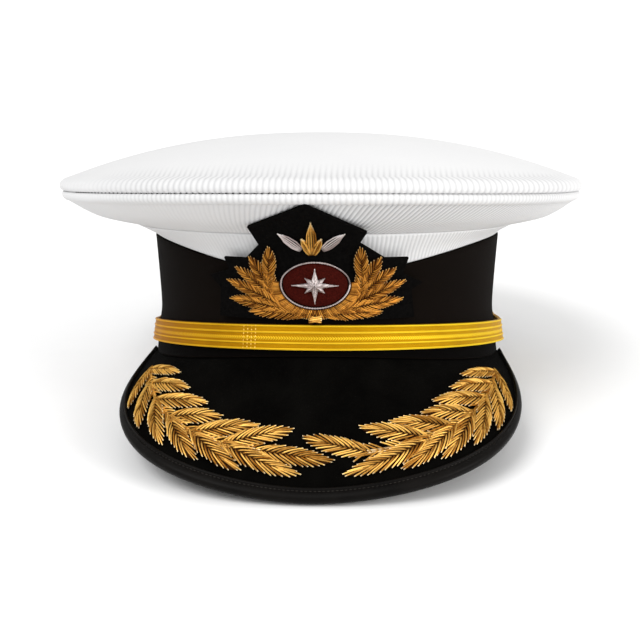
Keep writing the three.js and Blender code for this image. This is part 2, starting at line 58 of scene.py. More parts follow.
# Levels of the cap in its own frame, in millimetres, lowest first. The front of the cap faces -Y.
# half, front and back reach out from the middle; side, fore and aft are the heights there. late is
# how late round the side the front's height sets in, and shift moves a level to the right.
levelColumns = ("half", "front", "back", "side", "fore", "aft", "late", "shift")
level = {name: np.array(row, float) for name, row in {
    "bandFoot": (82.6, 99.5, 98, 0, 12, 0, 2, 0),
    "bandHem": (81.3, 98.2, 96.8, 13.6, 25.2, 13.6, 2, 0),
    "bandWaist": (80.3, 97, 95.8, 25, 33, 25, 2, 0),
    "bandHead": (82.6, 98.3, 97, 57, 46, 56, 3.6, 0),
    "stripFoot": (81.8, 97.6, 96.3, 57.3, 46.3, 56.3, 3.6, 0),
    "stripMid": (85.2, 99.6, 98.6, 59.6, 54, 58.6, 3, -0.6),
    "stripHead": (91, 104.4, 102.4, 62.2, 63.2, 61, 2, -1.2),
    "flareFoot": (92, 105.2, 103.4, 62.6, 63.6, 61.4, 2, -1.2),
    "flareBelly": (107.8, 114.5, 115.5, 65.6, 69.6, 65, 2, -2),
    "flareBrink": (120.6, 124, 127.3, 72.6, 77.6, 71.5, 2, -3),
    "lowRoll": (123.6, 127.2, 130.4, 75, 79, 73, 2, -3),
    "seam": (123.3, 127, 130.2, 77.55, 81.15, 75.35, 2, -3),
    "highRoll": (124.6, 128.2, 131.4, 80, 83.4, 77.8, 2, -3),
    "brim": (123, 126.4, 129.8, 82.6, 85.6, 80.4, 2, -3),
    "strapLow": (83, 99.9, 98.4, 4, 14.7, 4, 1, 0),
    "strapHigh": (81.7, 98.6, 97.2, 14, 25.4, 14, 1, 0),
}.items()}


def levelSize(name, column):
    return level[name][levelColumns.index(column)]


# The cap lies on the edge of its peak and the back of its band, leaning forward by restTilt.
restTilt = 10 * deg
tiltCos, tiltSin = math.cos(restTilt), math.sin(restTilt)
capBack = levelSize("highRoll", "back") * tiltCos + levelSize("highRoll", "aft") * tiltSin
capHome = np.array([
    -levelSize("brim", "shift"),
    cadBounds[1].y / mm - capBack,
    levelSize("bandFoot", "back") * tiltSin,
])
insideCap = (0, 0, 60)  # a point under the crown, in the cap's frame


# Points in the cap's own frame, in millimetres, carried to where the cap lies, in metres.
def laid(points):
    x, y, z = np.moveaxis(np.asarray(points, float), -1, 0)
    turned = np.stack([x, y * tiltCos + z * tiltSin, z * tiltCos - y * tiltSin], axis=-1)
    return (turned + capHome) * mm


# Points of a level by angle, counted from +X towards the back. row may hold a row for each point.
def onLevel(row, angle, inward=0.0):
    half, front, back, side, fore, aft, late, shift = np.moveaxis(np.asarray(row, float), -1, 0)
    s = np.sin(angle)
    x = (half - inward) * np.cos(angle) + shift
    y = (np.where(s < 0, front, back) - inward) * s
    z = side + np.where(s < 0, (fore - side) * np.abs(s) ** late, (aft - side) * s * s)
    return np.stack(np.broadcast_arrays(x, y, z), axis=-1)


def unit(vectors):
    return vectors / np.maximum(np.linalg.norm(vectors, axis=-1, keepdims=True), 1e-12)


# Horizontal direction square to a level, outwards.
def outward(row, angle):
    half, front, back = row[:3]
    s = np.sin(angle)
    return unit(np.stack([np.cos(angle) / half, s / np.where(s < 0, front, back), 0 * s], axis=-1))


# How far each point of a grid lies down its column from the first row, in metres.
def runDown(rows):
    return np.linalg.norm(np.diff(rows, axis=0, prepend=rows[:1]), axis=-1).cumsum(axis=0) * mm


# A smooth curve through the rows of a table, read at places counted in rows.
def smoothRows(rows, places):
    rows = np.asarray(rows, float)
    last = len(rows) - 1
    k = np.clip(np.floor(places).astype(int), 0, last - 1)
    t = (places - k)[:, None]
    a, b, c, d = (rows[np.clip(k + step, 0, last)] for step in (-1, 0, 1, 2))
    return b + 0.5 * t * (c - a + t * (2 * a - 5 * b + 4 * c - d + t * (3 * (b - c) + d - a)))


print("stage 1: sizes read from the frame")


# Faces of a grid of points with that many rows and columns.
def gridFaces(rows, columns, ringRows=False, ringColumns=False):
    row = np.arange(rows if ringRows else rows - 1)[:, None]
    column = np.arange(columns if ringColumns else columns - 1)[None, :]
    here, below = row * columns, (row + 1) % rows * columns
    ahead = (column + 1) % columns
    return np.stack([here + column, here + ahead, below + ahead, below + column], axis=-1).reshape(-1, 4)


def pieceFrom(name, points, faces, edges=(), attributes=None):
    mesh = bpy.data.meshes.new(name)
    faceList = faces.tolist() if isinstance(faces, np.ndarray) else list(faces)
    mesh.from_pydata(points.reshape(-1, 3).tolist(), list(edges), faceList)
    for label, values in (attributes or {}).items():
        made = mesh.attributes.new(label, "FLOAT", "POINT")
        made.data.foreach_set("value", np.asarray(values, np.float32).ravel())
    piece = bpy.data.objects.new(name, mesh)
    bpy.context.scene.collection.objects.link(piece)
    return piece


# Several closed grids as one list of points and one of faces.
def stacked(parts):
    points, faces, count = [], [], 0
    for somePoints, someFaces in parts:
        flat = somePoints.reshape(-1, 3)
        points.append(flat)
        faces.extend([[i + count for i in face] for face in someFaces])
        count += len(flat)
    return np.concatenate(points), faces


# Closed rows joined into a tube with a face over each end.
def tubeFaces(rows, columns):
    faces = gridFaces(rows, columns, ringColumns=True).tolist()
    faces.append(list(range(columns))[::-1])
    faces.append([(rows - 1) * columns + c for c in range(columns)])
    return faces


# Doubles are merged and faces turned outwards; an open sheet is turned away from its middle.
def tidied(piece, near=1e-6, away=None):
    shape = bmesh.new()
    shape.from_mesh(piece.data)
    bmesh.ops.remove_doubles(shape, verts=shape.verts, dist=near)
    bmesh.ops.dissolve_degenerate(shape, edges=shape.edges, dist=near)
    bmesh.ops.recalc_face_normals(shape, faces=shape.faces)
    if away is not None:
        middle = Vector(away)
        facing = sum(f.normal.dot(f.calc_center_median() - middle) * f.calc_area() for f in shape.faces)
        if facing < 0:
            bmesh.ops.reverse_faces(shape, faces=shape.faces)
    shape.to_mesh(piece.data)
    shape.free()
    return piece


def smoothed(piece, crease=None):
    piece.data.polygons.foreach_set("use_smooth", np.ones(len(piece.data.polygons), bool))
    if crease is not None:
        piece.data.set_sharp_from_angle(angle=crease * deg)
    return piece


# The modifiers' result becomes the piece's own plain mesh.
def settled(piece):
    graph = bpy.context.evaluated_depsgraph_get()
    mesh = bpy.data.meshes.new_from_object(piece.evaluated_get(graph), depsgraph=graph)
    piece.modifiers.clear()
    piece.data = mesh
    return piece


def walled(piece, thick):
    wall = piece.modifiers.new("wall", "SOLIDIFY")
    wall.thickness = thick * mm
    wall.offset = -1
    return settled(piece)


def dressed(piece, material):
    piece.data.materials.clear()
    piece.data.materials.append(material)
    piece.data.polygons.foreach_set("material_index", np.zeros(len(piece.data.polygons), np.int32))
    return piece


def handedIn(piece, slot, *nodes):
    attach(piece, "root")
    if nodes:
        piece.name = nodes[0] + "_dressed"
        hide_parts(*nodes)
    return piece


# One node of a shader or geometry tree. A value is set on its input, a socket is linked to it.
def addNode(tree, kind, inputs=None, **settings):
    made = tree.nodes.new(kind)
    for key, value in settings.items():
        setattr(made, key, value)
    for key, value in (inputs or {}).items():
        if isinstance(value, bpy.types.NodeSocket):
            tree.links.new(value, made.inputs[key])
        elif value is not None:
            made.inputs[key].default_value = value
    return made


def mathNode(tree, operation, *values):
    return addNode(tree, "ShaderNodeMath", dict(enumerate(values)), operation=operation).outputs[0]


# Geometry trees start from named inputs and end in a material and realized instances.
def geometryTree(name, inputs):
    tree = bpy.data.node_groups.new(name, "GeometryNodeTree")
    tree.interface.new_socket("Geometry", in_out="INPUT", socket_type="NodeSocketGeometry")
    for label, value in inputs.items():
        kind = "NodeSocketInt" if isinstance(value, int) else "NodeSocketFloat"
        tree.interface.new_socket(label, in_out="INPUT", socket_type=kind).default_value = value
    tree.interface.new_socket("Material", in_out="INPUT", socket_type="NodeSocketMaterial")
    tree.interface.new_socket("Geometry", in_out="OUTPUT", socket_type="NodeSocketGeometry")
    return tree, addNode(tree, "NodeGroupInput").outputs


def endTree(tree, given, geometry):
    smooth = addNode(tree, "GeometryNodeSetShadeSmooth", {"Geometry": geometry}).outputs[0]
    whole = addNode(tree, "GeometryNodeRealizeInstances", {"Geometry": smooth}).outputs[0]
    sockets = {"Geometry": whole, "Material": given["Material"]}
    painted = addNode(tree, "GeometryNodeSetMaterial", sockets).outputs[0]
    addNode(tree, "NodeGroupOutput", {"Geometry": painted})
    return tree


def grown(piece, tree, material, **values):
    modifier = piece.modifiers.new(tree.name, "NODES")
    modifier.node_group = tree
    values["Material"] = material
    for item in tree.interface.items_tree:
        if item.item_type == "SOCKET" and item.in_out == "INPUT" and item.name in values:
            modifier[item.identifier] = values[item.name]
    return dressed(settled(piece), material)


def namedValue(tree, name):
    return addNode(tree, "GeometryNodeInputNamedAttribute", {"Name": name}, data_type="FLOAT").outputs[0]


def storedValue(tree, geometry, name, value):
    sockets = {"Geometry": geometry, "Name": name, "Value": value}
    kept = addNode(tree, "GeometryNodeStoreNamedAttribute", sockets, data_type="FLOAT", domain="POINT")
    return kept.outputs[0]


# Cords of a ribbed cloth: points move along their normals by the place across the ribs. How deep each point
# lies in a groove is kept for the painted shade of the grooves.
def ribTree():
    tree, given = geometryTree("ribs", {"Pitch": 0.002, "Depth": 0.0001})
    plainLine = 0.64  # share of a cord's height that lies in the line of the plain cloth
    phase = mathNode(tree, "DIVIDE", namedValue(tree, "across"), given["Pitch"])
    cord = mathNode(tree, "ABSOLUTE", mathNode(tree, "SINE", mathNode(tree, "MULTIPLY", phase, math.pi)))
    proud = mathNode(tree, "MULTIPLY", mathNode(tree, "SUBTRACT", cord, plainLine), given["Depth"])
    fade = namedValue(tree, "fade")
    height = mathNode(tree, "MULTIPLY", proud, fade)
    # share of painted shade for each point, by how deep it lies in a groove
    grooveShade = mathNode(tree, "MULTIPLY", mathNode(tree, "SUBTRACT", 1.0, cord), fade)
    cloth = storedValue(tree, given["Geometry"], "grooveShade", grooveShade)
    normal = addNode(tree, "GeometryNodeInputNormal").outputs[0]
    offset = addNode(tree, "ShaderNodeVectorMath", {0: normal, "Scale": height}, operation="SCALE").outputs[0]
    moved = addNode(tree, "GeometryNodeSetPosition", {"Geometry": cloth, "Offset": offset}).outputs[0]
    return endTree(tree, given, moved)


# Wire laid along each line of the mesh, as thick as the line's own points say.
def wireTree():
    tree, given = geometryTree("wire", {"Sides": 6})
    lines = addNode(tree, "GeometryNodeMeshToCurve", {"Mesh": given["Geometry"]}).outputs[0]
    run = addNode(tree, "GeometryNodeSplineParameter").outputs
    lines = storedValue(tree, lines, "along", run["Length"])
    lines = storedValue(tree, lines, "share", run["Factor"])
    ring = addNode(tree, "GeometryNodeCurvePrimitiveCircle", {"Resolution": given["Sides"], "Radius": 1.0})
    turn = addNode(tree, "GeometryNodeSplineParameter").outputs["Factor"]
    section = storedValue(tree, ring.outputs[0], "around", turn)
    tube = addNode(tree, "GeometryNodeCurveToMesh", {
        "Curve": lines, "Profile Curve": section, "Scale": namedValue(tree, "thick"), "Fill Caps": True,
    })
    return endTree(tree, given, tube.outputs[0])


# A stitch every Pitch along each line: a small long bead that lies along the line.
def stitchTree():
    tree, given = geometryTree("stitches", {"Pitch": 0.002, "Long": 0.0014, "Thick": 0.0004})
    lines = addNode(tree, "GeometryNodeMeshToCurve", {"Mesh": given["Geometry"]}).outputs[0]
    spacing = {"Curve": lines, "Length": given["Pitch"]}
    spaced = addNode(tree, "GeometryNodeResampleCurve", spacing, mode="LENGTH").outputs[0]
    bead = addNode(tree, "GeometryNodeMeshUVSphere", {"Segments": 6, "Rings": 5, "Radius": 0.5}).outputs[0]
    tangent = addNode(tree, "GeometryNodeInputTangent").outputs[0]
    turned = addNode(tree, "FunctionNodeAlignRotationToVector", {"Vector": tangent}, axis="X").outputs[0]
    size = addNode(tree, "ShaderNodeCombineXYZ", {0: given["Long"], 1: given["Thick"], 2: given["Thick"]})
    sewn = addNode(tree, "GeometryNodeInstanceOnPoints", {
        "Points": spaced, "Instance": bead, "Rotation": turned, "Scale": size.outputs[0],
    })
    return endTree(tree, given, sewn.outputs[0])


ribs, wire, stitches = ribTree(), wireTree(), stitchTree()


# Lines for the wire and stitch trees: each is a row of points, with a thickness for each point and
# a tone of its own.
def linesPiece(name, lines, thick):
    draw = np.random.default_rng(len(lines))
    points, edges, sizes, tones, count = [], [], [], [], 0
    for line, size in zip(lines, thick):
        n = len(line)
        points.append(np.asarray(line))
        sizes.append(np.broadcast_to(size, n) * mm)
        tones.append(np.full(n, draw.uniform(0, 1)))
        edges.extend((count + i, count + i + 1) for i in range(n - 1))
        count += n
    attributes = {"thick": np.concatenate(sizes), "tone": np.concatenate(tones)}
    return pieceFrom(name, np.concatenate(points), [], edges, attributes)


print("stage 2: geometry trees ready")


def newMaterial(name, **sockets):
    material = bpy.data.materials.new(name)
    material.use_nodes = True
    shader = material.node_tree.nodes["Principled BSDF"]
    for label, value in sockets.items():
        shader.inputs[label.replace("_", " ")].default_value = value
    return material, material.node_tree, shader


def objectPlace(tree):
    return addNode(tree, "ShaderNodeTexCoord").outputs["Object"]


def noise(tree, place, scale, detail=3, roughness=0.55):
    sockets = {"Vector": place, "Scale": scale, "Detail": detail, "Roughness": roughness}
    return addNode(tree, "ShaderNodeTexNoise", sockets).outputs[0]


def ranged(tree, value, low, high, toLow=0.0, toHigh=1.0):
    sockets = {0: value, 1: low, 2: high, 3: toLow, 4: toHigh}
    return addNode(tree, "ShaderNodeMapRange", sockets).outputs[0]


# Two values added, each by its own share.
def summed(tree, first, firstShare, second, secondShare):
    return mathNode(tree, "MULTIPLY_ADD", first, firstShare, mathNode(tree, "MULTIPLY", second, secondShare))


def mixedColour(tree, share, first, second):
    mix = addNode(tree, "ShaderNodeMix", {0: share}, data_type="RGBA")
    for socket, colour in ((mix.inputs[6], first), (mix.inputs[7], second)):
        if isinstance(colour, bpy.types.NodeSocket):
            tree.links.new(colour, socket)
        else:
            socket.default_value = (*colour, 1)
    return mix.outputs[2]


def bumped(tree, shader, height, strength, distance):
    sockets = {"Height": height, "Strength": strength, "Distance": distance * mm}
    bump = addNode(tree, "ShaderNodeBump", sockets)
    tree.links.new(bump.outputs[0], shader.inputs["Normal"])


def attributeValue(tree, name):
    return addNode(tree, "ShaderNodeAttribute", attribute_name=name, attribute_type="GEOMETRY").outputs["Fac"]


# A wave from 0 to 1 by a value in metres, with a pitch in millimetres.
def wave(tree, value, pitch, shift=0.0):
    turns = mathNode(tree, "MULTIPLY_ADD", value, 2 * math.pi / (pitch * mm), shift)
    return mathNode(tree, "MULTIPLY_ADD", mathNode(tree, "SINE", turns), 0.5, 0.5)


# White ribbed cloth: a fine thread over the cords, with a little soft unevenness, and painted shade in the
# grooves between the cords.
whiteCloth = {
    "dull": (0.69, 0.69, 0.695), "bright": (0.72, 0.72, 0.72), "grooveShade": (0.41, 0.41, 0.42), "thread": 0.42,
}


def whiteClothLook():
    material, tree, shader = newMaterial("white_cloth", Roughness=0.85, Specular_IOR_Level=0.2)
    place = objectPlace(tree)
    thread = wave(tree, attributeValue(tree, "down"), whiteCloth["thread"])
    fuzz = noise(tree, place, scale=900, detail=3)
    cloudy = noise(tree, place, scale=22, detail=2)
    bumped(tree, shader, summed(tree, thread, 0.5, fuzz, 0.5), strength=0.5, distance=0.07)
    tone = summed(tree, fuzz, 0.35, cloudy, 0.65)
    plain = mixedColour(tree, ranged(tree, tone, 0.3, 0.7), whiteCloth["dull"], whiteCloth["bright"])
    # the grooves between the cords are painted darker, as shade
    colour = mixedColour(tree, attributeValue(tree, "grooveShade"), plain, whiteCloth["grooveShade"])
    tree.links.new(colour, shader.inputs["Base Color"])
    return material


# Black braid of the band: two threads that cross on the slant. Painted shade makes it darkest along its
# foot, where the strap and the peak shade it.
blackBraid = {
    "dull": (0.0015, 0.0009, 0.0006), "bright": (0.0050, 0.0032, 0.0022), "foot": (0.0006, 0.0005, 0.0005),
    "thread": 0.75, "footShadeShare": 0.8, "footShadeFrom": 4, "footShadeTo": 14,
}


def blackBraidLook():
    material, tree, shader = newMaterial("black_braid", Roughness=0.85, Specular_IOR_Level=0.035)
    across, down = attributeValue(tree, "across"), attributeValue(tree, "down")
    slants = [mathNode(tree, way, across, down) for way in ("ADD", "SUBTRACT")]
    weave = mathNode(tree, "MAXIMUM", *(wave(tree, slant, blackBraid["thread"]) for slant in slants))
    fuzz = noise(tree, objectPlace(tree), scale=1400, detail=2)
    height = summed(tree, weave, 0.75, fuzz, 0.25)
    bumped(tree, shader, height, strength=0.6, distance=0.12)
    plain = mixedColour(tree, height, blackBraid["dull"], blackBraid["bright"])
    low, high = blackBraid["footShadeFrom"] * mm, blackBraid["footShadeTo"] * mm
    # painted shade along the foot of the band, where the strap and the peak shade it
    footShade = ranged(tree, down, low, high, blackBraid["footShadeShare"], 0.0)
    colour = mixedColour(tree, footShade, plain, blackBraid["foot"])
    tree.links.new(colour, shader.inputs["Base Color"])
    return material


# Velvet: a deep black pile that lies a little differently from place to place.
velvet = {"dull": (0.0010, 0.0009, 0.0008), "bright": (0.0030, 0.0028, 0.0024)}


def velvetLook():
    material, tree, shader = newMaterial(
        "velvet", Roughness=1.0, Specular_IOR_Level=0.015, Sheen_Weight=0.006, Sheen_Roughness=0.35)
    place = objectPlace(tree)
    pile = noise(tree, place, scale=2200, detail=2)
    brushed = noise(tree, place, scale=60, detail=3)
    bumped(tree, shader, pile, strength=0.7, distance=0.25)
    tone = ranged(tree, summed(tree, pile, 0.4, brushed, 0.6), 0.35, 0.65)
    tree.links.new(mixedColour(tree, tone, velvet["dull"], velvet["bright"]), shader.inputs["Base Color"])
    return material


# Black leather: pebbled grain, small pores and a soft gloss that varies.
leather = {
    "dull": (0.0026, 0.0022, 0.0019), "bright": (0.0060, 0.0050, 0.0043), "pebbles": 1300, "pores": 700,
}


def leatherLook():
    material, tree, shader = newMaterial("leather", Specular_IOR_Level=0.06)
    place = objectPlace(tree)
    sockets = {"Vector": place, "Scale": leather["pebbles"]}
    pebbles = addNode(tree, "ShaderNodeTexVoronoi", sockets, feature="SMOOTH_F1").outputs[0]
    pores = noise(tree, place, leather["pores"], detail=4)
    bumped(tree, shader, summed(tree, pebbles, 0.7, pores, 0.4), strength=0.35, distance=0.12)
    scuff = noise(tree, place, scale=45, detail=4)
    tree.links.new(ranged(tree, scuff, 0.3, 0.7, 0.36, 0.52), shader.inputs["Roughness"])
    colour = mixedColour(tree, ranged(tree, scuff, 0.35, 0.7), leather["dull"], leather["bright"])
    tree.links.new(colour, shader.inputs["Base Color"])
    return material


# Gold braid: fine metal threads along the strap, and a slanted weave down its middle stripe. Painted light
# makes it darker on the left and brighter on the right, changing over so many millimetres along the strap,
# and painted shade darkens the low threads between the raised cords.
goldBraid = {
    "left": {"dull": (0.36, 0.125, 0.002), "bright": (0.74, 0.35, 0.012)},
    "right": {"dull": (0.74, 0.44, 0.005), "bright": (1.0, 0.80, 0.045)},
    "sunkShade": (0.20, 0.070, 0.001), "paintedLightFrom": 40, "paintedLightTo": 270,
    "thread": 0.36, "twist": 0.62, "weave": 1.25,
}


def goldBraidLook():
    material, tree, shader = newMaterial(
        "gold_braid", Metallic=0.5, Specular_IOR_Level=0.1, Specular_Tint=(1, 0.66, 0.12, 1))
    across, along = attributeValue(tree, "across"), attributeValue(tree, "along")
    woven = attributeValue(tree, "woven")
    threads = wave(tree, across, goldBraid["thread"])
    twist = wave(tree, mathNode(tree, "MULTIPLY_ADD", across, 1.4, along), goldBraid["twist"])
    folded = mathNode(tree, "ABSOLUTE", across)
    slanted = wave(tree, mathNode(tree, "MULTIPLY_ADD", folded, 1.1, along), goldBraid["weave"])
    plain = summed(tree, twist, 0.35, threads, 0.65)
    height = addNode(tree, "ShaderNodeMix", {0: woven, 2: plain, 3: slanted}, data_type="FLOAT").outputs[0]
    bumped(tree, shader, height, strength=0.7, distance=0.14)
    worn = noise(tree, objectPlace(tree), scale=90, detail=3)
    tone = ranged(tree, summed(tree, height, 0.7, worn, 0.3), 0.15, 0.8)
    # painted light: the strap is shaded on the left and lit on the right
    paintedLightShare = ranged(tree, along, goldBraid["paintedLightFrom"] * mm, goldBraid["paintedLightTo"] * mm)
    left, right = goldBraid["left"], goldBraid["right"]
    bright = mixedColour(tree, paintedLightShare, left["bright"], right["bright"])
    dull = mixedColour(tree, paintedLightShare, left["dull"], right["dull"])
    raised = mixedColour(tree, tone, dull, bright)
    # painted shade on the low threads between the raised cords
    shadedLow = mixedColour(tree, tone, goldBraid["sunkShade"], dull)
    colour = mixedColour(tree, ranged(tree, attributeValue(tree, "proud"), 0.14, 0.34), shadedLow, raised)
    tree.links.new(colour, shader.inputs["Base Color"])
    tree.links.new(ranged(tree, worn, 0.3, 0.7, 0.34, 0.5), shader.inputs["Roughness"])
    return material


# Wire wound into a fine coil, each strand of its own tone. Painted shade darkens it between its turns and
# at its root, and a painted highlight makes its tip pale. tint colours its gloss, and turn is the pitch of
# the coil.
wires = {
    "bullion": {
        "dark": (0.29, 0.105, 0.010), "light": (1.0, 0.61, 0.15), "tipHighlight": (1.0, 0.88, 0.58),
        "metallic": 0.85, "tint": (1, 0.78, 0.4, 1), "turn": 0.42,
    },
    "deep_bullion": {
        "dark": (0.15, 0.040, 0.004), "light": (0.74, 0.34, 0.055), "tipHighlight": (1.0, 0.74, 0.36),
        "metallic": 0.8, "tint": (1, 0.72, 0.34, 1), "turn": 0.42,
    },
    "silver": {
        "dark": (0.36, 0.29, 0.28), "light": (0.80, 0.73, 0.72), "tipHighlight": (0.9, 0.86, 0.85),
        "metallic": 0.75, "tint": (1, 1, 1, 1), "turn": 0.34,
    },
}


def coiledWireLook(name):
    own = wires[name]
    material, tree, shader = newMaterial(
        name, Metallic=own["metallic"], Specular_IOR_Level=0.5, Specular_Tint=own["tint"])
    phase = mathNode(tree, "MULTIPLY", attributeValue(tree, "around"), 2 * math.pi)
    coil = wave(tree, attributeValue(tree, "along"), own["turn"], phase)
    bumped(tree, shader, coil, strength=0.35, distance=0.06)
    patchy = noise(tree, objectPlace(tree), scale=420, detail=2)
    # the coil's turns are painted darker between them, as shade
    strand = summed(tree, attributeValue(tree, "tone"), 0.5, coil, 0.15)
    tone = mathNode(tree, "MULTIPLY_ADD", patchy, 0.35, strand)
    share = attributeValue(tree, "share")
    colour = mixedColour(tree, ranged(tree, tone, 0.25, 0.75), own["dark"], own["light"])
    # painted shade at the root of each strand
    root = tuple(0.5 * part for part in own["dark"])
    rootShaded = mixedColour(tree, ranged(tree, share, 0.0, 0.14), root, colour)
    # painted highlight at the tip of each strand
    tipHighlighted = mixedColour(tree, ranged(tree, share, 0.88, 1.0, 0.0, 0.7), rootShaded, own["tipHighlight"])
    tree.links.new(tipHighlighted, shader.inputs["Base Color"])
    tree.links.new(ranged(tree, patchy, 0.3, 0.7, 0.26, 0.42), shader.inputs["Roughness"])
    return material


# Felt, cloth and thread of plain fibres. A larger scale makes finer fibres.
fibreWork = {
    "maroon": {"dark": (0.022, 0.0020, 0.0012), "light": (0.050, 0.0050, 0.0030), "scale": 1500},
    "black_cloth": {"dark": (0.0008, 0.0007, 0.0007), "light": (0.0030, 0.0027, 0.0025), "scale": 700},
    # the felt under the leaves is coloured a deep brown as painted shade between their strands
    "shaded_padding": {"dark": (0.016, 0.005, 0.0015), "light": (0.045, 0.016, 0.004), "scale": 900},
    "black_thread": {"dark": (0.012, 0.011, 0.010), "light": (0.042, 0.038, 0.034), "scale": 2400},
    "gold_thread": {"dark": (0.62, 0.33, 0.02), "light": (1.0, 0.72, 0.16), "scale": 1200},
    "grey_thread": {"dark": (0.020, 0.020, 0.021), "light": (0.09, 0.09, 0.09), "scale": 2400},
}


def fibreLook(name):
    own = fibreWork[name]
    material, tree, shader = newMaterial(name, Roughness=0.95, Specular_IOR_Level=0.04)
    fibres = noise(tree, objectPlace(tree), own["scale"], detail=5, roughness=0.7)
    bumped(tree, shader, fibres, strength=0.7, distance=0.2)
    colour = mixedColour(tree, ranged(tree, fibres, 0.35, 0.65), own["dark"], own["light"])
    tree.links.new(colour, shader.inputs["Base Color"])
    return material


# Gilt metal: a lightly brushed and tarnished surface.
gilt = {"dull": (0.55, 0.33, 0.08), "bright": (0.86, 0.62, 0.24)}


def giltLook():
    material, tree, shader = newMaterial("gilt", Metallic=1.0)
    place = objectPlace(tree)
    tarnish = noise(tree, place, scale=260, detail=4)
    brushed = noise(tree, place, scale=1800, detail=2)
    bumped(tree, shader, brushed, strength=0.15, distance=0.05)
    colour = mixedColour(tree, ranged(tree, tarnish, 0.35, 0.65), gilt["dull"], gilt["bright"])
    tree.links.new(colour, shader.inputs["Base Color"])
    tree.links.new(ranged(tree, tarnish, 0.3, 0.7, 0.2, 0.38), shader.inputs["Roughness"])
    return material


looks = {
    "white_cloth": whiteClothLook(), "black_braid": blackBraidLook(), "velvet": velvetLook(),
    "leather": leatherLook(), "gold_braid": goldBraidLook(), "gilt": giltLook(),
    **{name: coiledWireLook(name) for name in wires},
    **{name: fibreLook(name) for name in fibreWork},
}
print("stage 3: materials ready")


# A closed shape, smoothed but for its creases, put in place of the node of its own name.
def solidPiece(name, slot, grid, faces, crease=None, near=1e-6, attributes=None):
    piece = tidied(pieceFrom(name, laid(grid), faces, attributes=attributes), near)
    return handedIn(dressed(smoothed(piece, crease), looks[slot]), slot, name)


# Lines made into wire, put in place of the node of their own name.
def wirePiece(name, slot, lines, thick, look=None, sides=6):
    piece = grown(linesPiece(name, lines, thick), wire, looks[look or slot], Sides=sides)
    return handedIn(tidied(piece), slot, name)


# Stitches along lines, with the pitch, length and thickness in the piece's own dictionary.
def stitchPiece(name, slot, look, lines, own):
    sizes = {label: own[label.lower()] * mm for label in ("Pitch", "Long", "Thick")}
    piece = linesPiece(name, lines, [own["thick"]] * len(lines))
    return handedIn(grown(piece, stitches, looks[look], **sizes), slot)


# Share of the cords' height by the place across the cap, from -1 on the left to 1 on the right. The
# cloth is drawn smooth over the left side.
cords = {"least": 0.12, "leftEnd": -0.78, "leftRise": 0.25, "rightEnd": 0.97, "rightFall": 0.12}


def shownCords(across):
    rising = np.clip((across - cords["leftEnd"]) / cords["leftRise"], 0, 1)
    falling = np.clip((cords["rightEnd"] - across) / cords["rightFall"], 0, 1)
    return cords["least"] + (1 - cords["least"]) * rising * falling


# A roll of the rim, from its table of steps inward and heights from the seam.
def rollSteps(own):
    return smoothRows(own["roll"], np.linspace(0, len(own["roll"]) - 1, own["rollRows"]))


# Cloth over a grid of points: an open sheet gets its cords, and then its wall on the inside.
def clothPiece(name, rows, faces, across, fade, pitch, own):
    attributes = {"across": np.broadcast_to(across, rows.shape[:2]), "down": runDown(rows),
                  "fade": np.broadcast_to(fade, rows.shape[:2])}
    piece = tidied(pieceFrom(name, laid(rows), faces, attributes=attributes), away=laid(insideCap))
    grown(piece, ribs, looks["white_cloth"], Pitch=pitch, Depth=own["ribDepth"] * mm)
    return handedIn(walled(piece, own["wall"]), "white_cloth", name)


# The dome and the upper roll of the rim. Columns run front to back along the cords of the cloth.
crownTop = {
    "wall": 1.2, "ribPitch": 2.3, "ribDepth": 0.3, "ribShare": 0.55, "columnsPerRib": 4,
    "evenShare": 0.8,  # share of the half width with even columns, before they crowd at the tips
    "tipColumns": 84, "rollRows": 11, "domeRows": 44, "domeEdge": 0.955,
    "smoothTo": 0.84, "rimShare": 0.9, "rimRise": 1.5,  # the dome's cords rise only near the rim
    "height": 104.6, "swell": 2.25,
    "roll": ((2.6, -0.12), (0.9, 0.22), (0.1, 1.1), (-0.15, 2.3), (0.2, 3.6), (1.3, 4.9), (3.2, 5.8)),
}


# Height of the dome over the plan, in the cap's frame.
def domeHeight(x, y):
    half, front, back, side, *_, shift = level["brim"]
    reach = np.where(y < 0, front, back)
    part = np.hypot((x - shift) / half, y / reach)
    s = np.where(part > 1e-9, y / reach / np.maximum(part, 1e-9), 0)
    edge = onLevel(level["brim"], np.arcsin(np.clip(s, -1, 1)))[..., 2]
    rise = (1 - part ** crownTop["swell"]) * (crownTop["height"] - side)
    return side + (edge - side) * part ** 2 + rise


def topColumns():
    half = levelSize("brim", "half") * crownTop["domeEdge"]
    step = crownTop["ribPitch"] / crownTop["columnsPerRib"]
    count = int(crownTop["evenShare"] * half / step)
    even = np.arcsin(np.arange(-count, count + 1) * step / half)
    tips = np.linspace(even[-1], math.pi / 2, crownTop["tipColumns"] + 1)[1:]
    return np.concatenate([-tips[::-1], even, tips])


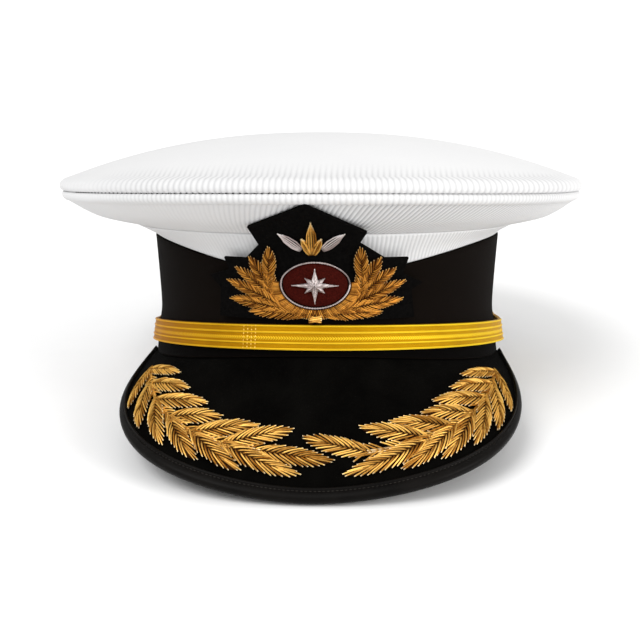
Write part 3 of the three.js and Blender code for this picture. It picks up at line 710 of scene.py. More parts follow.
def makeCrownTop():
    turn = topColumns()
    roll = rollSteps(crownTop)
    half, front, back, *_, shift = level["brim"]

    def rollRows(side):
        angle = side * (math.pi / 2 - turn)[None, :]
        points = onLevel(level["highRoll"], angle, roll[:, :1])
        points[..., 2] = onLevel(level["seam"], angle)[..., 2] + roll[:, 1:]
        return points

    across = crownTop["domeEdge"] * np.sin(turn)
    share = np.linspace(-1, 1, crownTop["domeRows"])[:, None]
    x = np.broadcast_to(shift + half * across, (len(share), len(turn)))
    reach = np.where(share < 0, front, back)
    y = share * reach * np.sqrt(np.maximum(crownTop["domeEdge"] ** 2 - across ** 2, 0))
    dome = np.stack([x, y, domeHeight(x, y)], axis=-1)
    rows = np.concatenate([rollRows(-1), dome, rollRows(1)[::-1]])
    fade = np.ones(rows.shape[:2])
    nearRim = np.clip((np.abs(share) - crownTop["smoothTo"]) / (1 - crownTop["smoothTo"]), 0, 1)
    fade[crownTop["rollRows"]:-crownTop["rollRows"]] = crownTop["rimShare"] * nearRim ** crownTop["rimRise"]
    fade *= crownTop["ribShare"] * shownCords(np.sin(turn))[None, :]
    fade[[0, -1]] = 0
    faces = gridFaces(*rows.shape[:2])
    return clothPiece("crown_top", rows, faces, half * across * mm, fade, crownTop["ribPitch"] * mm, crownTop)


# Angles that space a level's points evenly along its line, and the line's length.
def evenAngles(row, count, samples=4001):
    fine = np.linspace(-math.pi, math.pi, samples)
    run = np.concatenate([[0], np.linalg.norm(np.diff(onLevel(row, fine), axis=0), axis=-1).cumsum()])
    return np.interp(np.arange(count) * run[-1] / count, run, fine), run[-1]


def clothRing(name, rows, girth, fade, own):
    count = own["ribs"] * own["columnsPerRib"]
    across = np.arange(count) * girth / count * mm
    faces = gridFaces(*rows.shape[:2], ringColumns=True)
    return clothPiece(name, rows, faces, across, fade, girth / own["ribs"] * mm, own)


# The lower roll of the rim, and the flare under it down to the strip.
flare = {
    "wall": 1.2, "ribs": 336, "ribDepth": 0.5, "rollShare": 0.4, "columnsPerRib": 4,
    "rollRows": 9, "flareRows": 15,
    "slant": 70,  # degrees that the cords of the flare rise from the level
    "hem": (-0.2, 0.1),  # the flare's foot is sewn to the head of the strip: inward and up from it
    "wornRibs": 0.12,  # share of the cords' height left where the cloth is stretched, on the left
    "wornMiddle": 0.4, "wornSlope": 1.6,  # how stretched in the middle, and how fast that grows
    "roll": ((2.4, -0.12), (0.7, 0.22), (0.05, 1.0), (-0.1, 2.0), (0.3, 3.1), (1.3, 4.1), (2.7, 4.6)),
}


def makeCrownFlare():
    angles, girth = evenAngles(level["lowRoll"], flare["ribs"] * flare["columnsPerRib"])
    roll = rollSteps(flare)
    rollPart = onLevel(level["lowRoll"], angles[None, :], roll[:, :1])
    rollPart[..., 2] = onLevel(level["seam"], angles)[None, :, 2] - roll[:, 1:]
    places = np.linspace(0, 2, flare["flareRows"] + 1)[1:]
    levels = smoothRows([level[name] for name in ("flareBrink", "flareBelly", "flareFoot")], places)
    out, rise = (levelSize("flareBrink", size) - levelSize("flareFoot", size) for size in ("half", "side"))
    slantRun = math.hypot(out, rise) / math.tan(flare["slant"] * deg)
    shear = -(places / 2) * slantRun / levelSize("flareBelly", "half")
    flarePart = onLevel(levels[:, None, :], angles[None, :] + shear[:, None])
    inward, up = flare["hem"]
    hem = onLevel(level["stripHead"], angles + shear[-1], inward)[None] + [0, 0, up]
    rows = np.concatenate([rollPart, flarePart, hem])
    fade = np.ones((len(rows), 1))
    fade[[0, -1]] = 0
    fade[1:flare["rollRows"]] = flare["rollShare"]
    shown = shownCords(np.cos(angles))
    worn = np.clip(flare["wornMiddle"] - flare["wornSlope"] * np.cos(angles), 0, 1)
    stretched = 1 - (1 - flare["wornRibs"]) * worn
    onFlare = np.arange(len(rows))[:, None] >= flare["rollRows"] - 2
    fade = fade * np.where(onFlare, (shown * stretched)[None, :], shown[None, :])
    return clothRing("crown_flare", rows, girth, fade, flare)


# The narrow strip between the flare and the band, tucked under the flare. Its cords fade to the left.
strip = {
    "wall": 1.2, "ribs": 300, "ribDepth": 0.35, "ribShare": 0.6, "columnsPerRib": 4, "rows": 10,
    "tuck": (2.0, 1.4), "leastCords": 0.3, "cordsMiddle": 0.8, "cordsSlope": 1.5,
}


def makeCrownStrip():
    angles, girth = evenAngles(level["stripMid"], strip["ribs"] * strip["columnsPerRib"])
    table = [level[name] for name in ("stripHead", "stripMid", "stripFoot")]
    levels = smoothRows(table, np.linspace(0, 2, strip["rows"]))
    inward, up = strip["tuck"]
    tucked = onLevel(level["stripHead"], angles, inward)[None] + [0, 0, up]
    rows = np.concatenate([tucked, onLevel(levels[:, None, :], angles[None, :])])
    fade = np.full((len(rows), 1), strip["ribShare"])
    fade[[0, 1, -1]] = 0
    shown = np.clip(strip["cordsMiddle"] + strip["cordsSlope"] * np.cos(angles), 0, 1)
    fade = fade * (strip["leastCords"] + (1 - strip["leastCords"]) * shown)[None, :]
    return clothRing("crown_strip", rows, girth, fade, strip)


# Short dark stitches in the groove of the rim's seam, seen on the front left of the cap.
rimStitches = {
    "from": -148, "to": -86, "points": 90, "inward": 0.5, "pitch": 2.9, "long": 1.0, "thick": 0.62,
}


def makeRimStitches():
    angle = np.linspace(rimStitches["from"], rimStitches["to"], rimStitches["points"]) * deg
    line = onLevel(level["lowRoll"], angle, rimStitches["inward"])
    line[:, 2] = onLevel(level["seam"], angle)[:, 2]
    return stitchPiece("rim_stitches", "white_cloth", "grey_thread", [laid(line)], rimStitches)


crownTopPiece = makeCrownTop()
crownFlarePiece = makeCrownFlare()
crownStripPiece = makeCrownStrip()
makeRimStitches()
print("stage 4: white crown made")

# The band's section runs up its outer face, over a rounded top edge and down inside.
band = {"wall": 2.4, "columns": 480, "rows": 26, "edge": 0.8, "seated": 0.28}


def makeBand():
    angles, girth = evenAngles(level["bandWaist"], band["columns"])
    table = [level[name] for name in ("bandFoot", "bandHem", "bandWaist", "bandHead")]
    levels = smoothRows(table, np.linspace(0, 3, band["rows"]))
    outer = onLevel(levels[:, None, :], angles[None, :])
    outer[0, :, 2] -= band["seated"] * np.sqrt(np.clip(-np.sin(angles), 0, 1))
    side = outward(level["bandFoot"], angles)[None]

    def roundedEdge(base, sign):
        rows = []
        for turn in range(30, 181, 30):
            inward = band["wall"] / 2 * (1 - math.cos(turn * deg))
            up = sign * band["edge"] * (math.sin(turn * deg) - 1)
            rows.append(base - side * inward + [0, 0, up])
        return np.concatenate(rows)

    top, foot = roundedEdge(outer[-1:], 1), roundedEdge(outer[:1], -1)
    outer[-1, :, 2] -= band["edge"]
    outer[0, :, 2] += band["edge"]
    inner = (outer - side * band["wall"])[::-1]
    rows = np.concatenate([outer, top, inner[1:-1], foot[::-1]])
    across = np.broadcast_to(np.arange(band["columns"]) * girth / band["columns"] * mm, rows.shape[:2])
    faces = gridFaces(*rows.shape[:2], ringRows=True, ringColumns=True)
    attributes = {"across": across, "down": runDown(rows)}
    return solidPiece("band", "black_braid", rows, faces, attributes=attributes)


makeBand()
print("stage 5: band made")

# The peak's outer edge is a curve from the middle of the front round to one temple.
peak = {
    "spread": 86, "thick": 2.4, "tuck": 2, "root": 1.2, "mostRoot": 0.3, "gap": 0.3,
    "stations": 180, "rows": 22,
    "edge": ((0, -137.2, -39), (40.5, -137.2, -39), (100.5, -137, -19.2), (91, -68, -13), (84.4, -8, -1.6)),
    "shift": -0.9,
}
binding = {"reach": 6, "wall": 0.9, "bead": 1.25, "mostOf": 0.72, "stations": 240}


def peakEdge(part):
    t = np.abs(part)[..., None]
    u = 1 - t
    weights = (u ** 4, 4 * u ** 3 * t, 6 * u ** 2 * t ** 2, 4 * u * t ** 3, t ** 4)
    edge = sum(weight * np.array(point, float) for weight, point in zip(weights, peak["edge"]))
    edge[..., 0] = edge[..., 0] * np.where(part < 0, -1, 1) + peak["shift"] * u[..., 0]
    return edge


def peakRoot(part, inward=0.0):
    return onLevel(level["bandFoot"], (-90 + part * peak["spread"]) * deg, inward) - [0, 0, peak["gap"]]


def onRule(part, down):
    return peakRoot(part) + (peakEdge(part) - peakRoot(part)) * np.asarray(down)[..., None]


# A point of the peak's top face: part from -1 to 1 across it, down from 0 at the band to 1 at its
# edge, lifted square to the face.
def onPeak(part, down, lift=0.0):
    part, down, lift = np.broadcast_arrays(np.asarray(part, float), np.asarray(down, float), lift)
    step = 0.01
    p = np.clip(part, -1 + step, 1 - step)
    along = onRule(p + step, down) - onRule(p - step, down)
    slope = peakEdge(p) - peakRoot(p)
    normal = unit(np.cross(slope, along))
    normal = np.where(normal[..., 2:] < 0, -normal, normal)
    return onRule(part, down) + normal * lift[..., None]


def peakLength(part):
    return np.linalg.norm(peakEdge(part) - peakRoot(part), axis=-1)


def makePeak():
    part = np.linspace(-1, 1, peak["stations"] + 1)
    length = peakLength(part)
    end = 1 - (binding["wall"] + peak["gap"]) / length
    start = np.minimum(peak["root"] / length, peak["mostRoot"])
    down = start[:, None] + (end - start)[:, None] * np.linspace(0, 1, peak["rows"])[None, :]
    across = np.broadcast_to(part[:, None], down.shape)
    top, under = onPeak(across, down), onPeak(across, down, -peak["thick"])[:, ::-1]
    sewn = peakRoot(part, peak["tuck"])
    rows = np.concatenate([sewn[:, None], top, under, (sewn - [0, 0, peak["thick"]])[:, None]], axis=1)
    return solidPiece("peak", "velvet", rows, tubeFaces(*rows.shape[:2]), crease=40)


# Section of the folded binding: steps back from the peak's edge and lifts off its top face.
def bindingSection():
    gap, wall, bead, thick = peak["gap"], binding["wall"], binding["bead"], peak["thick"]
    lifted = gap + wall
    over = [(1.0, gap * 0.5), (0.94, gap + bead * 0.8), (0.86, gap + bead), (0.78, gap + bead * 0.78),
            (0.72, lifted * 0.62), (0.66, lifted * 0.8), (0.5, lifted * 1.0), (0.34, lifted * 1.0)]
    nose = [(0.2, lifted * 0.86), (0.1, lifted * 0.5), (0.03, -0.1), (0, -thick / 2), (0.03, 0.1 - thick),
            (0.1, -thick - lifted * 0.5), (0.22, -thick - lifted)]
    under = [(0.6, -thick - lifted), (0.94, -thick - lifted), (1.0, -thick - lifted * 0.7),
             (1.0, -thick - gap), (0.16, -thick - gap), (0.16, gap * 0.4), (0.97, gap * 0.4)]
    return over + nose + under


# How far the binding reaches in over the peak: less where the peak is short.
def bindingLeg(length):
    return np.minimum(binding["reach"], binding["mostOf"] * length)


def makeBinding():
    part = np.linspace(-1, 1, binding["stations"] + 1)
    length = peakLength(part)
    back, lift = np.array(bindingSection()).T[:, None, :]
    down = 1 - back * (bindingLeg(length) / length)[:, None]
    rows = onPeak(np.broadcast_to(part[:, None], down.shape), down, np.broadcast_to(lift, down.shape))
    return solidPiece("peak_binding", "leather", rows, tubeFaces(*rows.shape[:2]), crease=60)


# Black stitches along the binding, a share of its leg back from the edge.
bindingStitches = {
    "end": 0.985, "points": 240, "back": 0.72, "lift": 0.82, "pitch": 1.75, "long": 1.25, "thick": 0.42,
}


def makeBindingStitches():
    part = np.linspace(-bindingStitches["end"], bindingStitches["end"], bindingStitches["points"])
    length = peakLength(part)
    down = 1 - bindingStitches["back"] * bindingLeg(length) / length
    line = laid(onPeak(part, down, bindingStitches["lift"]))
    return stitchPiece("peak_binding_stitches", "leather", "black_thread", [line], bindingStitches)


makePeak()
makeBinding()
makeBindingStitches()
print("stage 6: peak and binding made")

# Outline of a leaf: half width and height as shares of its own, along its vein.
leafShape = {
    "at": (0, 0.12, 0.35, 0.72, 0.9, 1),
    "wide": (0.3, 0.7, 1, 0.84, 0.5, 0.1),
    "high": (0.6, 0.85, 1, 0.9, 0.7, 0.45),
}


def leafShare(label, t):
    return np.interp(t, leafShape["at"], leafShape[label])


# The vein of a leaf on a flat plan, bent a little to one side.
class LeafLine:
    def __init__(self, root, tip, bend=0.0):
        self.root, self.bend = np.array(root, float), bend
        self.axis = np.array(tip, float) - self.root
        self.length = float(np.hypot(*self.axis))
        ahead = self.axis / self.length
        self.square = np.array([-ahead[1], ahead[0]])

    def at(self, t, off=0.0):
        t, off = np.asarray(t, float), np.asarray(off, float)
        curve = self.bend * np.sin(np.clip(t, 0, 1) * math.pi)
        return self.root + self.axis * t[..., None] + self.square * (off + curve)[..., None]


# How strands lie in a leaf, in shares of its length. Each leads forward from the vein to the edge,
# one side is staggered to the other, and small random steps keep them from looking ruled.
strandLay = {
    "mostLead": 0.46, "spare": 0.96, "early": 0.1, "stagger": 0.45, "rootStep": 0.006,
    "leadAtRoot": 0.8, "leadGrows": 0.2, "tipStep": (-0.012, 0.02), "farthest": 1.03,
    "edgeStep": 0.25, "veinGap": 0.12,  # in thicknesses of the wire
    "fan": 0.82, "thinned": ((0, 0.12, 0.9, 1), (0.75, 1, 1, 0.72)),
}


# Height of a strand along itself, in shares of its leaf's: over the felt, and down at its tip.
def strandArch(s):
    return 0.62 + 0.38 * np.sin(np.clip(s * 1.9 + 0.25, 0, math.pi)) - 0.72 * s ** 2.2


# Strands of wire laid like an ear of wheat: from the vein forward and out to the leaf's edge.
def leafStrands(line, place, own, draw):
    lay, thick, seat = strandLay, own["thick"], own["seat"]
    lead = min(own["lead"] / line.length, lay["mostLead"])
    span = 1 - lay["spare"] * lead
    count = max(4, round(line.length * span / own["pitch"]))
    s = np.linspace(0, 1, own["points"])
    strands = []
    for side in (-1, 1):
        for i in range(count + 1):
            root = (span + lay["early"]) * (i + lay["stagger"] * (side > 0)) / count - lay["early"]
            t0 = root + draw.uniform(-lay["rootStep"], lay["rootStep"])
            forward = lead * (lay["leadAtRoot"] + lay["leadGrows"] * t0)
            t1 = min(t0 + forward + draw.uniform(*lay["tipStep"]), lay["farthest"])
            wide = leafShare("wide", t1) * own["width"] / 2
            out = side * (wide + draw.uniform(-lay["edgeStep"], lay["edgeStep"]) * thick)
            along = t0 + (t1 - t0) * s
            flat = line.at(along, side * lay["veinGap"] * thick + out * s ** lay["fan"])
            crown = leafShare("high", along) * (own["height"] - seat)
            lift = seat + crown * strandArch(s) + own.get("over", 0)
            strands.append(laid(place(flat[:, 0], flat[:, 1], lift)))
    return strands, [thick / 2 * np.interp(s, *lay["thinned"])] * len(strands)


# The felt that raises a leaf, in shares of the leaf's sizes: low enough to lie under its strands.
leafFelt = {"from": 0.03, "to": 0.96, "rows": 11, "turns": 6, "wide": 0.86, "high": 0.62, "seat": 0.7}


def leafPad(line, place, own):
    t = np.linspace(leafFelt["from"], leafFelt["to"], leafFelt["rows"])
    wide = leafShare("wide", t) * own["width"] / 2 * leafFelt["wide"]
    high = leafShare("high", t) * own["height"] * leafFelt["high"]
    columns = []
    for turn in np.linspace(0, math.pi, leafFelt["turns"]):
        flat = line.at(t, wide * math.cos(turn))
        lift = own["seat"] * leafFelt["seat"] + high * math.sin(turn) + own.get("over", 0)
        columns.append(place(flat[:, 0], flat[:, 1], lift))
    grid = laid(np.stack(columns, axis=1))
    return grid, tubeFaces(*grid.shape[:2])


# Leaves of wire over felt. place carries the flat plan onto the cap, and extra holds further wires,
# each with its half thickness.
def leafWork(name, slot, leaves, place, own, extra, look=None):
    draw = np.random.default_rng(own["seed"])
    strands, sizes, pads = [], [], []
    for leaf in leaves:
        settings = {**own, **leaf}
        line = LeafLine(leaf["root"], leaf["tip"], leaf.get("bend", 0))
        some, thick = leafStrands(line, place, settings, draw)
        strands += some
        sizes += thick
        pads.append(leafPad(line, place, settings))
    for line, size in extra:
        strands.append(line)
        sizes.append(size)
    piece = wirePiece(name, slot, strands, sizes, look, own["sides"])
    # the felt is dark as painted shade between the strands
    felt = tidied(pieceFrom(name + "_padding", *stacked(pads)))
    handedIn(dressed(smoothed(felt, 50), looks["shaded_padding"]), slot)
    return piece


# Leaves stand in pairs along the stem of a spray, an inner and an outer one, from the temple to the
# front. A place on the peak is its part across and its share down; the plan spreads part over halfArc.
spray = {
    "pairs": 6, "rootFirst": 0.7, "innerFirst": 0.505, "outerFirst": 0.62, "lastRoot": 0.136, "halfArc": 150,
    "stemDown": 0.69, "stemCurve": 1.5, "stemStart": 0.2,
    "innerDown": 0.53, "innerCurve": 0.33, "innerBend": 2.5,
    "outerDown": (0.85, 0.85, 0.85, 0.85, 0.84, 0.80),
    "innerShare": (1, 1, 1.03, 0.88, 1, 1.04), "outerShare": (0.96, 1, 1, 1, 1.02, 1.22),
    "firstWide": 0.8, "bend": 0.8, "overStep": 0.12, "outerOver": 0.2, "lastOver": 0.1,
}
sprayLeaf = {
    "width": 8.2, "height": 2.1, "seat": 0.45, "thick": 0.76, "pitch": 1.85, "lead": 8.6,
    "points": 7, "sides": 6,
}
# Each side's leaves keep their own steps along the peak, and its last leaf its own tip.
spraySides = {
    "left": {
        "sign": -1, "rootStep": 0.094, "innerStep": 0.088, "outerStep": 0.11, "tip": (-0.05, 0.73), "seed": 7,
    },
    "right": {
        "sign": 1, "rootStep": 0.081, "innerStep": 0.075, "outerStep": 0.1, "tip": (-0.03, 0.57), "seed": 8,
    },
}
# Two wires run along the stem, and short strands slant off it to both sides.
sprayStem = {
    "points": 40, "beyond": 0.01, "apart": 0.5, "lift": 0.8, "thick": 0.5,
    "strands": 30, "strandPoints": 5, "lead": 5.5, "half": 3.6, "strandLift": 0.95, "strandArch": 0.35,
}


def stemDown(part):
    return spray["stemDown"] - spray["stemCurve"] * max(0, part - spray["stemStart"]) ** 2


def innerTipDown(part):
    return spray["innerDown"] - spray["innerCurve"] * (part / 0.5) ** spray["innerBend"]


def stemLines(flat, place):
    own = sprayStem
    part = np.linspace(spray["rootFirst"] + own["beyond"], spray["lastRoot"], own["points"])
    stem = np.array([flat(p, stemDown(p)) for p in part])
    lines = []
    for off in (-own["apart"], own["apart"]):
        lines.append((laid(place(stem[:, 0], stem[:, 1] + off, own["lift"])), own["thick"]))
    ahead = unit(np.gradient(stem, axis=0))
    square = np.stack([-ahead[:, 1], ahead[:, 0]], axis=-1)
    s = np.linspace(0, 1, own["strandPoints"])
    lift = own["strandLift"] + own["strandArch"] * np.sin(s * math.pi)
    for k in np.linspace(0, own["points"] - 1, own["strands"]).astype(int):
        for way in (-1, 1):
            line = stem[k] + (ahead[k] * own["lead"] + square[k] * way * own["half"]) * s[:, None]
            lines.append((laid(place(line[:, 0], line[:, 1], lift)), sprayLeaf["thick"] / 2))
    return lines


def makeSpray(side):
    own = spraySides[side]

    def flat(part, down):
        return part * spray["halfArc"], down * float(peakLength(np.array(part)))

    def place(u, v, lift):
        part = u / spray["halfArc"]
        return onPeak(own["sign"] * part, v / peakLength(part), lift)

    leaves = []
    for i in range(spray["pairs"]):
        rows = ("root", "inner", "outer")
        root, inner, outer = (spray[row + "First"] - own[row + "Step"] * i for row in rows)
        start = flat(root, stemDown(root))
        width = sprayLeaf["width"] * (spray["firstWide"] if i == 0 else 1)
        bend, over = spray["bend"], spray["overStep"] * (i % 3)
        ends = (
            (flat(inner, innerTipDown(inner)), spray["innerShare"][i], bend, over),
            (flat(outer, spray["outerDown"][i]), spray["outerShare"][i], -bend, over + spray["outerOver"]),
        )
        for end, share, bent, lifted in ends:
            tip = np.array(start) + (np.array(end) - start) * share
            leaves.append({"root": start, "tip": tip, "bend": bent, "width": width, "over": lifted})
    last = spray["lastRoot"]
    leaves.append({"root": flat(last, stemDown(last)), "tip": flat(*own["tip"]), "over": spray["lastOver"]})
    settings = {**sprayLeaf, "seed": own["seed"]}
    return leafWork("peak_spray_" + side, "bullion", leaves, place, settings, stemLines(flat, place))


makeSpray("left")
makeSpray("right")
print("stage 7: leaf sprays made")

# The strap's face from its lower to its upper edge: raised cords, flat threads between them and a
# woven stripe along the middle. Places and half widths are shares of its width.
strap = {
    "behind": 21, "width": 11, "thick": 1.3, "loose": 1.6, "looseArc": 14, "stations": 520, "columns": 61,
    "cords": (0.05, 0.29, 0.70, 0.95), "cordHalf": 0.042, "cordHigh": 0.5,
    "stripe": 0.475, "stripeHalf": 0.085, "stripeHigh": 0.28, "stripeEdge": 0.35,
    "base": 0.1, "threads": 26, "threadHigh": 0.05,
    "backInset": 0.02, "backOff": 0.05,  # its back is a little narrower and lies just off the band
    "edgeShare": 0.6,  # thickness left at its two edges
}


def strapLoose(angle):
    return strap["loose"] * np.exp(-((angle / (strap["looseArc"] * deg)) ** 2))


def onStrap(angle, t, off):
    low, high = onLevel(level["strapLow"], angle), onLevel(level["strapHigh"], angle)
    out = outward(level["strapLow"], angle)
    return low + (high - low) * t[..., None] + out * (off + strapLoose(angle))[..., None]


def strapHeight(t):
    high = strap["base"] + strap["threadHigh"] * np.abs(np.sin(t * math.pi * strap["threads"]))
    for middle in strap["cords"]:
        inside = np.clip(1 - ((t - middle) / strap["cordHalf"]) ** 2, 0, None)
        high = np.maximum(high, strap["cordHigh"] * np.sqrt(inside))
    inside = np.clip(1 - ((t - strap["stripe"]) / strap["stripeHalf"]) ** 2, 0, None)
    return np.maximum(high, strap["stripeHigh"] * inside ** strap["stripeEdge"])


def makeStrap():
    angle = np.linspace(-180 - strap["behind"], strap["behind"], strap["stations"] + 1) * deg
    face = np.linspace(0, 1, strap["columns"])
    t = np.concatenate([[strap["backInset"]], face, [1 - strap["backInset"]]])
    proud = np.concatenate([[strap["backOff"]], strap["thick"] + strapHeight(face), [strap["backOff"]]])
    proud[[1, -2]] = strap["thick"] * strap["edgeShare"]
    shape = (len(angle), len(t))
    rows = onStrap(angle[:, None], np.broadcast_to(t, shape), proud[None, :])
    length = np.linalg.norm(np.diff(onLevel(level["strapLow"], angle), axis=0), axis=-1).sum()
    values = {
        "along": np.linspace(0, length, len(angle))[:, None] * mm,
        "across": (t - strap["stripe"]) * strap["width"] * mm,
        "woven": np.abs(t - strap["stripe"]) < strap["stripeHalf"],
        "proud": proud - strap["thick"],
    }
    attributes = {label: np.broadcast_to(row, shape) for label, row in values.items()}
    return solidPiece("chin_strap", "gold_braid", rows, tubeFaces(*shape), crease=60, attributes=attributes)


# Stitches across the strap where its two layers are sewn together.
keeper = {
    "angles": (-112.0, -110.75, -109.5, -108.25), "from": 0.08, "to": 0.92, "points": 30, "stagger": 0.03,
    "proud": 0.35, "pitch": 1.3, "long": 0.85, "thick": 0.55,
}


def makeKeeper():
    t = np.linspace(keeper["from"], keeper["to"], keeper["points"])
    off = strap["thick"] + keeper["proud"]
    lines = []
    for i, angle in enumerate(keeper["angles"]):
        lines.append(laid(onStrap(np.full(len(t), angle * deg), t + keeper["stagger"] * (i % 2), off)))
    return stitchPiece("strap_stitches", "gold_braid", "gold_thread", lines, keeper)


# A plain domed button at each end of the strap, back degrees in from it.
button = {
    "radius": 6, "height": 3.4, "back": 5, "lift": 1.95, "segments": 48,
    "rim": ((0, 0), (0.96, 0), (1, 0.3), (0.97, 0.9), (0.84, 1.15)),  # shares of the radius, and heights
    "domeShare": 0.82, "domeFoot": 1.1, "domeRows": 10,
}


def makeButton(name, side):
    angle = (strap["behind"] - button["back"]) * deg
    angle = np.array(angle if side > 0 else math.pi - angle)
    low, high = onLevel(level["strapLow"], angle), onLevel(level["strapHigh"], angle)
    out = outward(level["strapLow"], angle)
    up = unit(high - low)
    ahead = unit(np.cross(up, out))
    face = np.cross(ahead, up)
    middle = (low + high) / 2 + out * strapLoose(angle) + face * button["lift"]
    profile = [(button["radius"] * share, height) for share, height in button["rim"]]
    dome, foot = button["radius"] * button["domeShare"], button["domeFoot"]
    for a in np.linspace(0, math.pi / 2, button["domeRows"]):
        profile.append((dome * math.cos(a), foot + (button["height"] - foot) * math.sin(a)))
    turn = np.linspace(0, 2 * math.pi, button["segments"], endpoint=False)[:, None]
    grid = np.stack([middle + r * (np.cos(turn) * ahead + np.sin(turn) * up) + z * face for r, z in profile])
    return solidPiece(name, "gilt", grid, gridFaces(*grid.shape[:2], ringColumns=True), crease=50, near=1e-5)


makeStrap()
makeKeeper()
makeButton("strap_button_left", -1)
makeButton("strap_button_right", 1)
print("stage 8: strap and buttons made")

# The stiff cloth patch leans from the band out to the brim: height, reach to the front, half width.
patchLean = np.array((
    (24, 98.9, 82.2), (40, 98.9, 83), (47, 99.9, 84), (56, 104.3, 88), (65, 111.4, 98), (72, 118.8, 107),
    (80, 128.9, 118),
))
patch = {"thick": 1.2, "back": 0.05, "cell": 2.0, "ease": 2.0}
patchOutline = (
    (39.5, 27.2), (38.3, 39), (43, 42), (34.8, 46.4), (37, 53.4), (27.4, 53.6), (17.2, 60.6), (20.2, 65.4),
    (-3.8, 77.2), (-27.8, 67.4), (-23.6, 59.6), (-29.8, 53.2), (-39, 53.2), (-37, 47.6), (-46, 44.6),
    (-41, 39.4), (-41.5, 27.2),
)


def leanAt(z, column):
    ease = patch["ease"]
    read = [np.interp(z + step, patchLean[:, 0], patchLean[:, column]) for step in (-ease, 0, ease)]
    return (read[0] + 2 * read[1] + read[2]) / 4


def onPatch(x, z, lift=0.0):
    x, z, lift = np.broadcast_arrays(np.asarray(x, float), np.asarray(z, float), lift)
    reach, half = leanAt(z, 1), leanAt(z, 2)
    lean = (leanAt(z + 1, 1) - leanAt(z - 1, 1)) / 2
    y = -reach * np.sqrt(np.clip(1 - (x / half) ** 2, 0, 1))
    normal = unit(np.stack([x / half ** 2, y / reach ** 2, 0 * z], axis=-1))
    normal[..., 2] = -lean
    return np.stack([x, y, z], axis=-1) + unit(normal) * lift[..., None]


def onBadge(x, z, lift):
    return onPatch(x, z, patch["thick"] + lift)


# The outline filled with small triangles, so that the cloth can bend.
def filledOutline(outline, cell):
    corners = np.array(outline)
    edge = []
    for a, b in zip(corners, np.roll(corners, -1, axis=0)):
        n = max(1, int(np.hypot(*(b - a)) / cell))
        edge += [tuple(a + (b - a) * i / n) for i in range(n)]
    low, high = corners.min(0), corners.max(0)
    inner = [(x, z) for z in np.arange(low[1], high[1], cell) for x in np.arange(low[0], high[0], cell)]
    loop = list(range(len(edge)))
    made = delaunay_2d_cdt([Vector(p) for p in edge + inner], [], [loop], 1, 1e-4)
    return np.array([tuple(v) for v in made[0]]), [list(f) for f in made[2]]


def makePatch():
    plan, faces = filledOutline(patchOutline, patch["cell"])
    count = len(plan)
    front, back = (onPatch(plan[:, 0], plan[:, 1], lift) for lift in (patch["thick"], patch["back"]))
    openEdges = {}
    for face in faces:
        for a, b in zip(face, face[1:] + face[:1]):
            key = (min(a, b), max(a, b))
            openEdges[key] = None if key in openEdges else (a, b)
    walls = [[a, a + count, b + count, b] for a, b in filter(None, openEdges.values())]
    behind = [[i + count for i in face[::-1]] for face in faces]
    points = np.concatenate([front, back])
    return solidPiece("badge_patch", "black_cloth", points, faces + behind + walls, crease=40)


# The padded oval: its middle on the patch, its half width and half height, and how far it rises.
medallion = {
    "x": -1, "z": 42.6, "half": 13.2, "tall": 9.6, "rise": 2.4, "back": 0.25, "edge": 0.3, "sides": 72,
    "underShares": (0.05, 0.4, 0.75), "edgeRows": 14, "topShare": 0.04,
}


def ovalPlan(turn, share=1.0, grow=0.0):
    x = medallion["x"] + (medallion["half"] * share + grow) * np.cos(turn)
    z = medallion["z"] + (medallion["tall"] * share + grow) * np.sin(turn)
    return x, z


def makeField():
    rise, edge = medallion["rise"], medallion["edge"]
    section = [(share, medallion["back"]) for share in medallion["underShares"]]
    for a in np.linspace(0, math.pi / 2, medallion["edgeRows"])[:-1]:
        section.append((math.cos(a), edge + (rise - edge) * math.sin(a)))
    section.append((medallion["topShare"], rise))
    turn = np.linspace(0, 2 * math.pi, medallion["sides"], endpoint=False)
    grid = np.stack([onBadge(*ovalPlan(turn, share), lift) for share, lift in section])
    return solidPiece("badge_field", "maroon", grid, tubeFaces(*grid.shape[:2]), crease=60)


# The silver cord sewn round the oval: strands wound round each other.
badgeCord = {
    "radius": 0.17, "strand": 0.19, "strands": 2, "turns": 40, "lift": 1.0, "grow": 0.6, "points": 400,
}


def makeBadgeCord():
    x, z = ovalPlan(np.linspace(0, 2 * math.pi, badgeCord["points"]), grow=badgeCord["grow"])
    dx, dz = np.gradient(x), np.gradient(z)
    run = np.hypot(dx, dz)
    wound = np.linspace(0, 2 * math.pi * badgeCord["turns"], len(x))
    lines = []
    for k in range(badgeCord["strands"]):
        phase = wound + 2 * math.pi * k / badgeCord["strands"]
        off = badgeCord["radius"] * np.cos(phase)
        lift = badgeCord["lift"] + badgeCord["radius"] * np.sin(phase)
        lines.append(laid(onBadge(x - dz / run * off, z + dx / run * off, lift)))
    return wirePiece("badge_cord", "silver", lines, [badgeCord["strand"]] * len(lines))


# Eight-pointed compass star in padded silver: threads lie from the ridge of each point to its edge.
star = {
    "long": 8, "short": 4.8, "notch": 2.6, "stretch": 1.12, "thread": 0.42, "threadPoints": 5, "seed": 3,
    "lead": 0.16, "farthest": 1.02, "leastHalf": 0.06,
    "base": 0.3, "sunk": 0.25, "thick": 1.6, "tipFall": 0.72, "edgeFall": 0.75, "edgeCurve": 1.6,
    "uneven": 0.05,
}


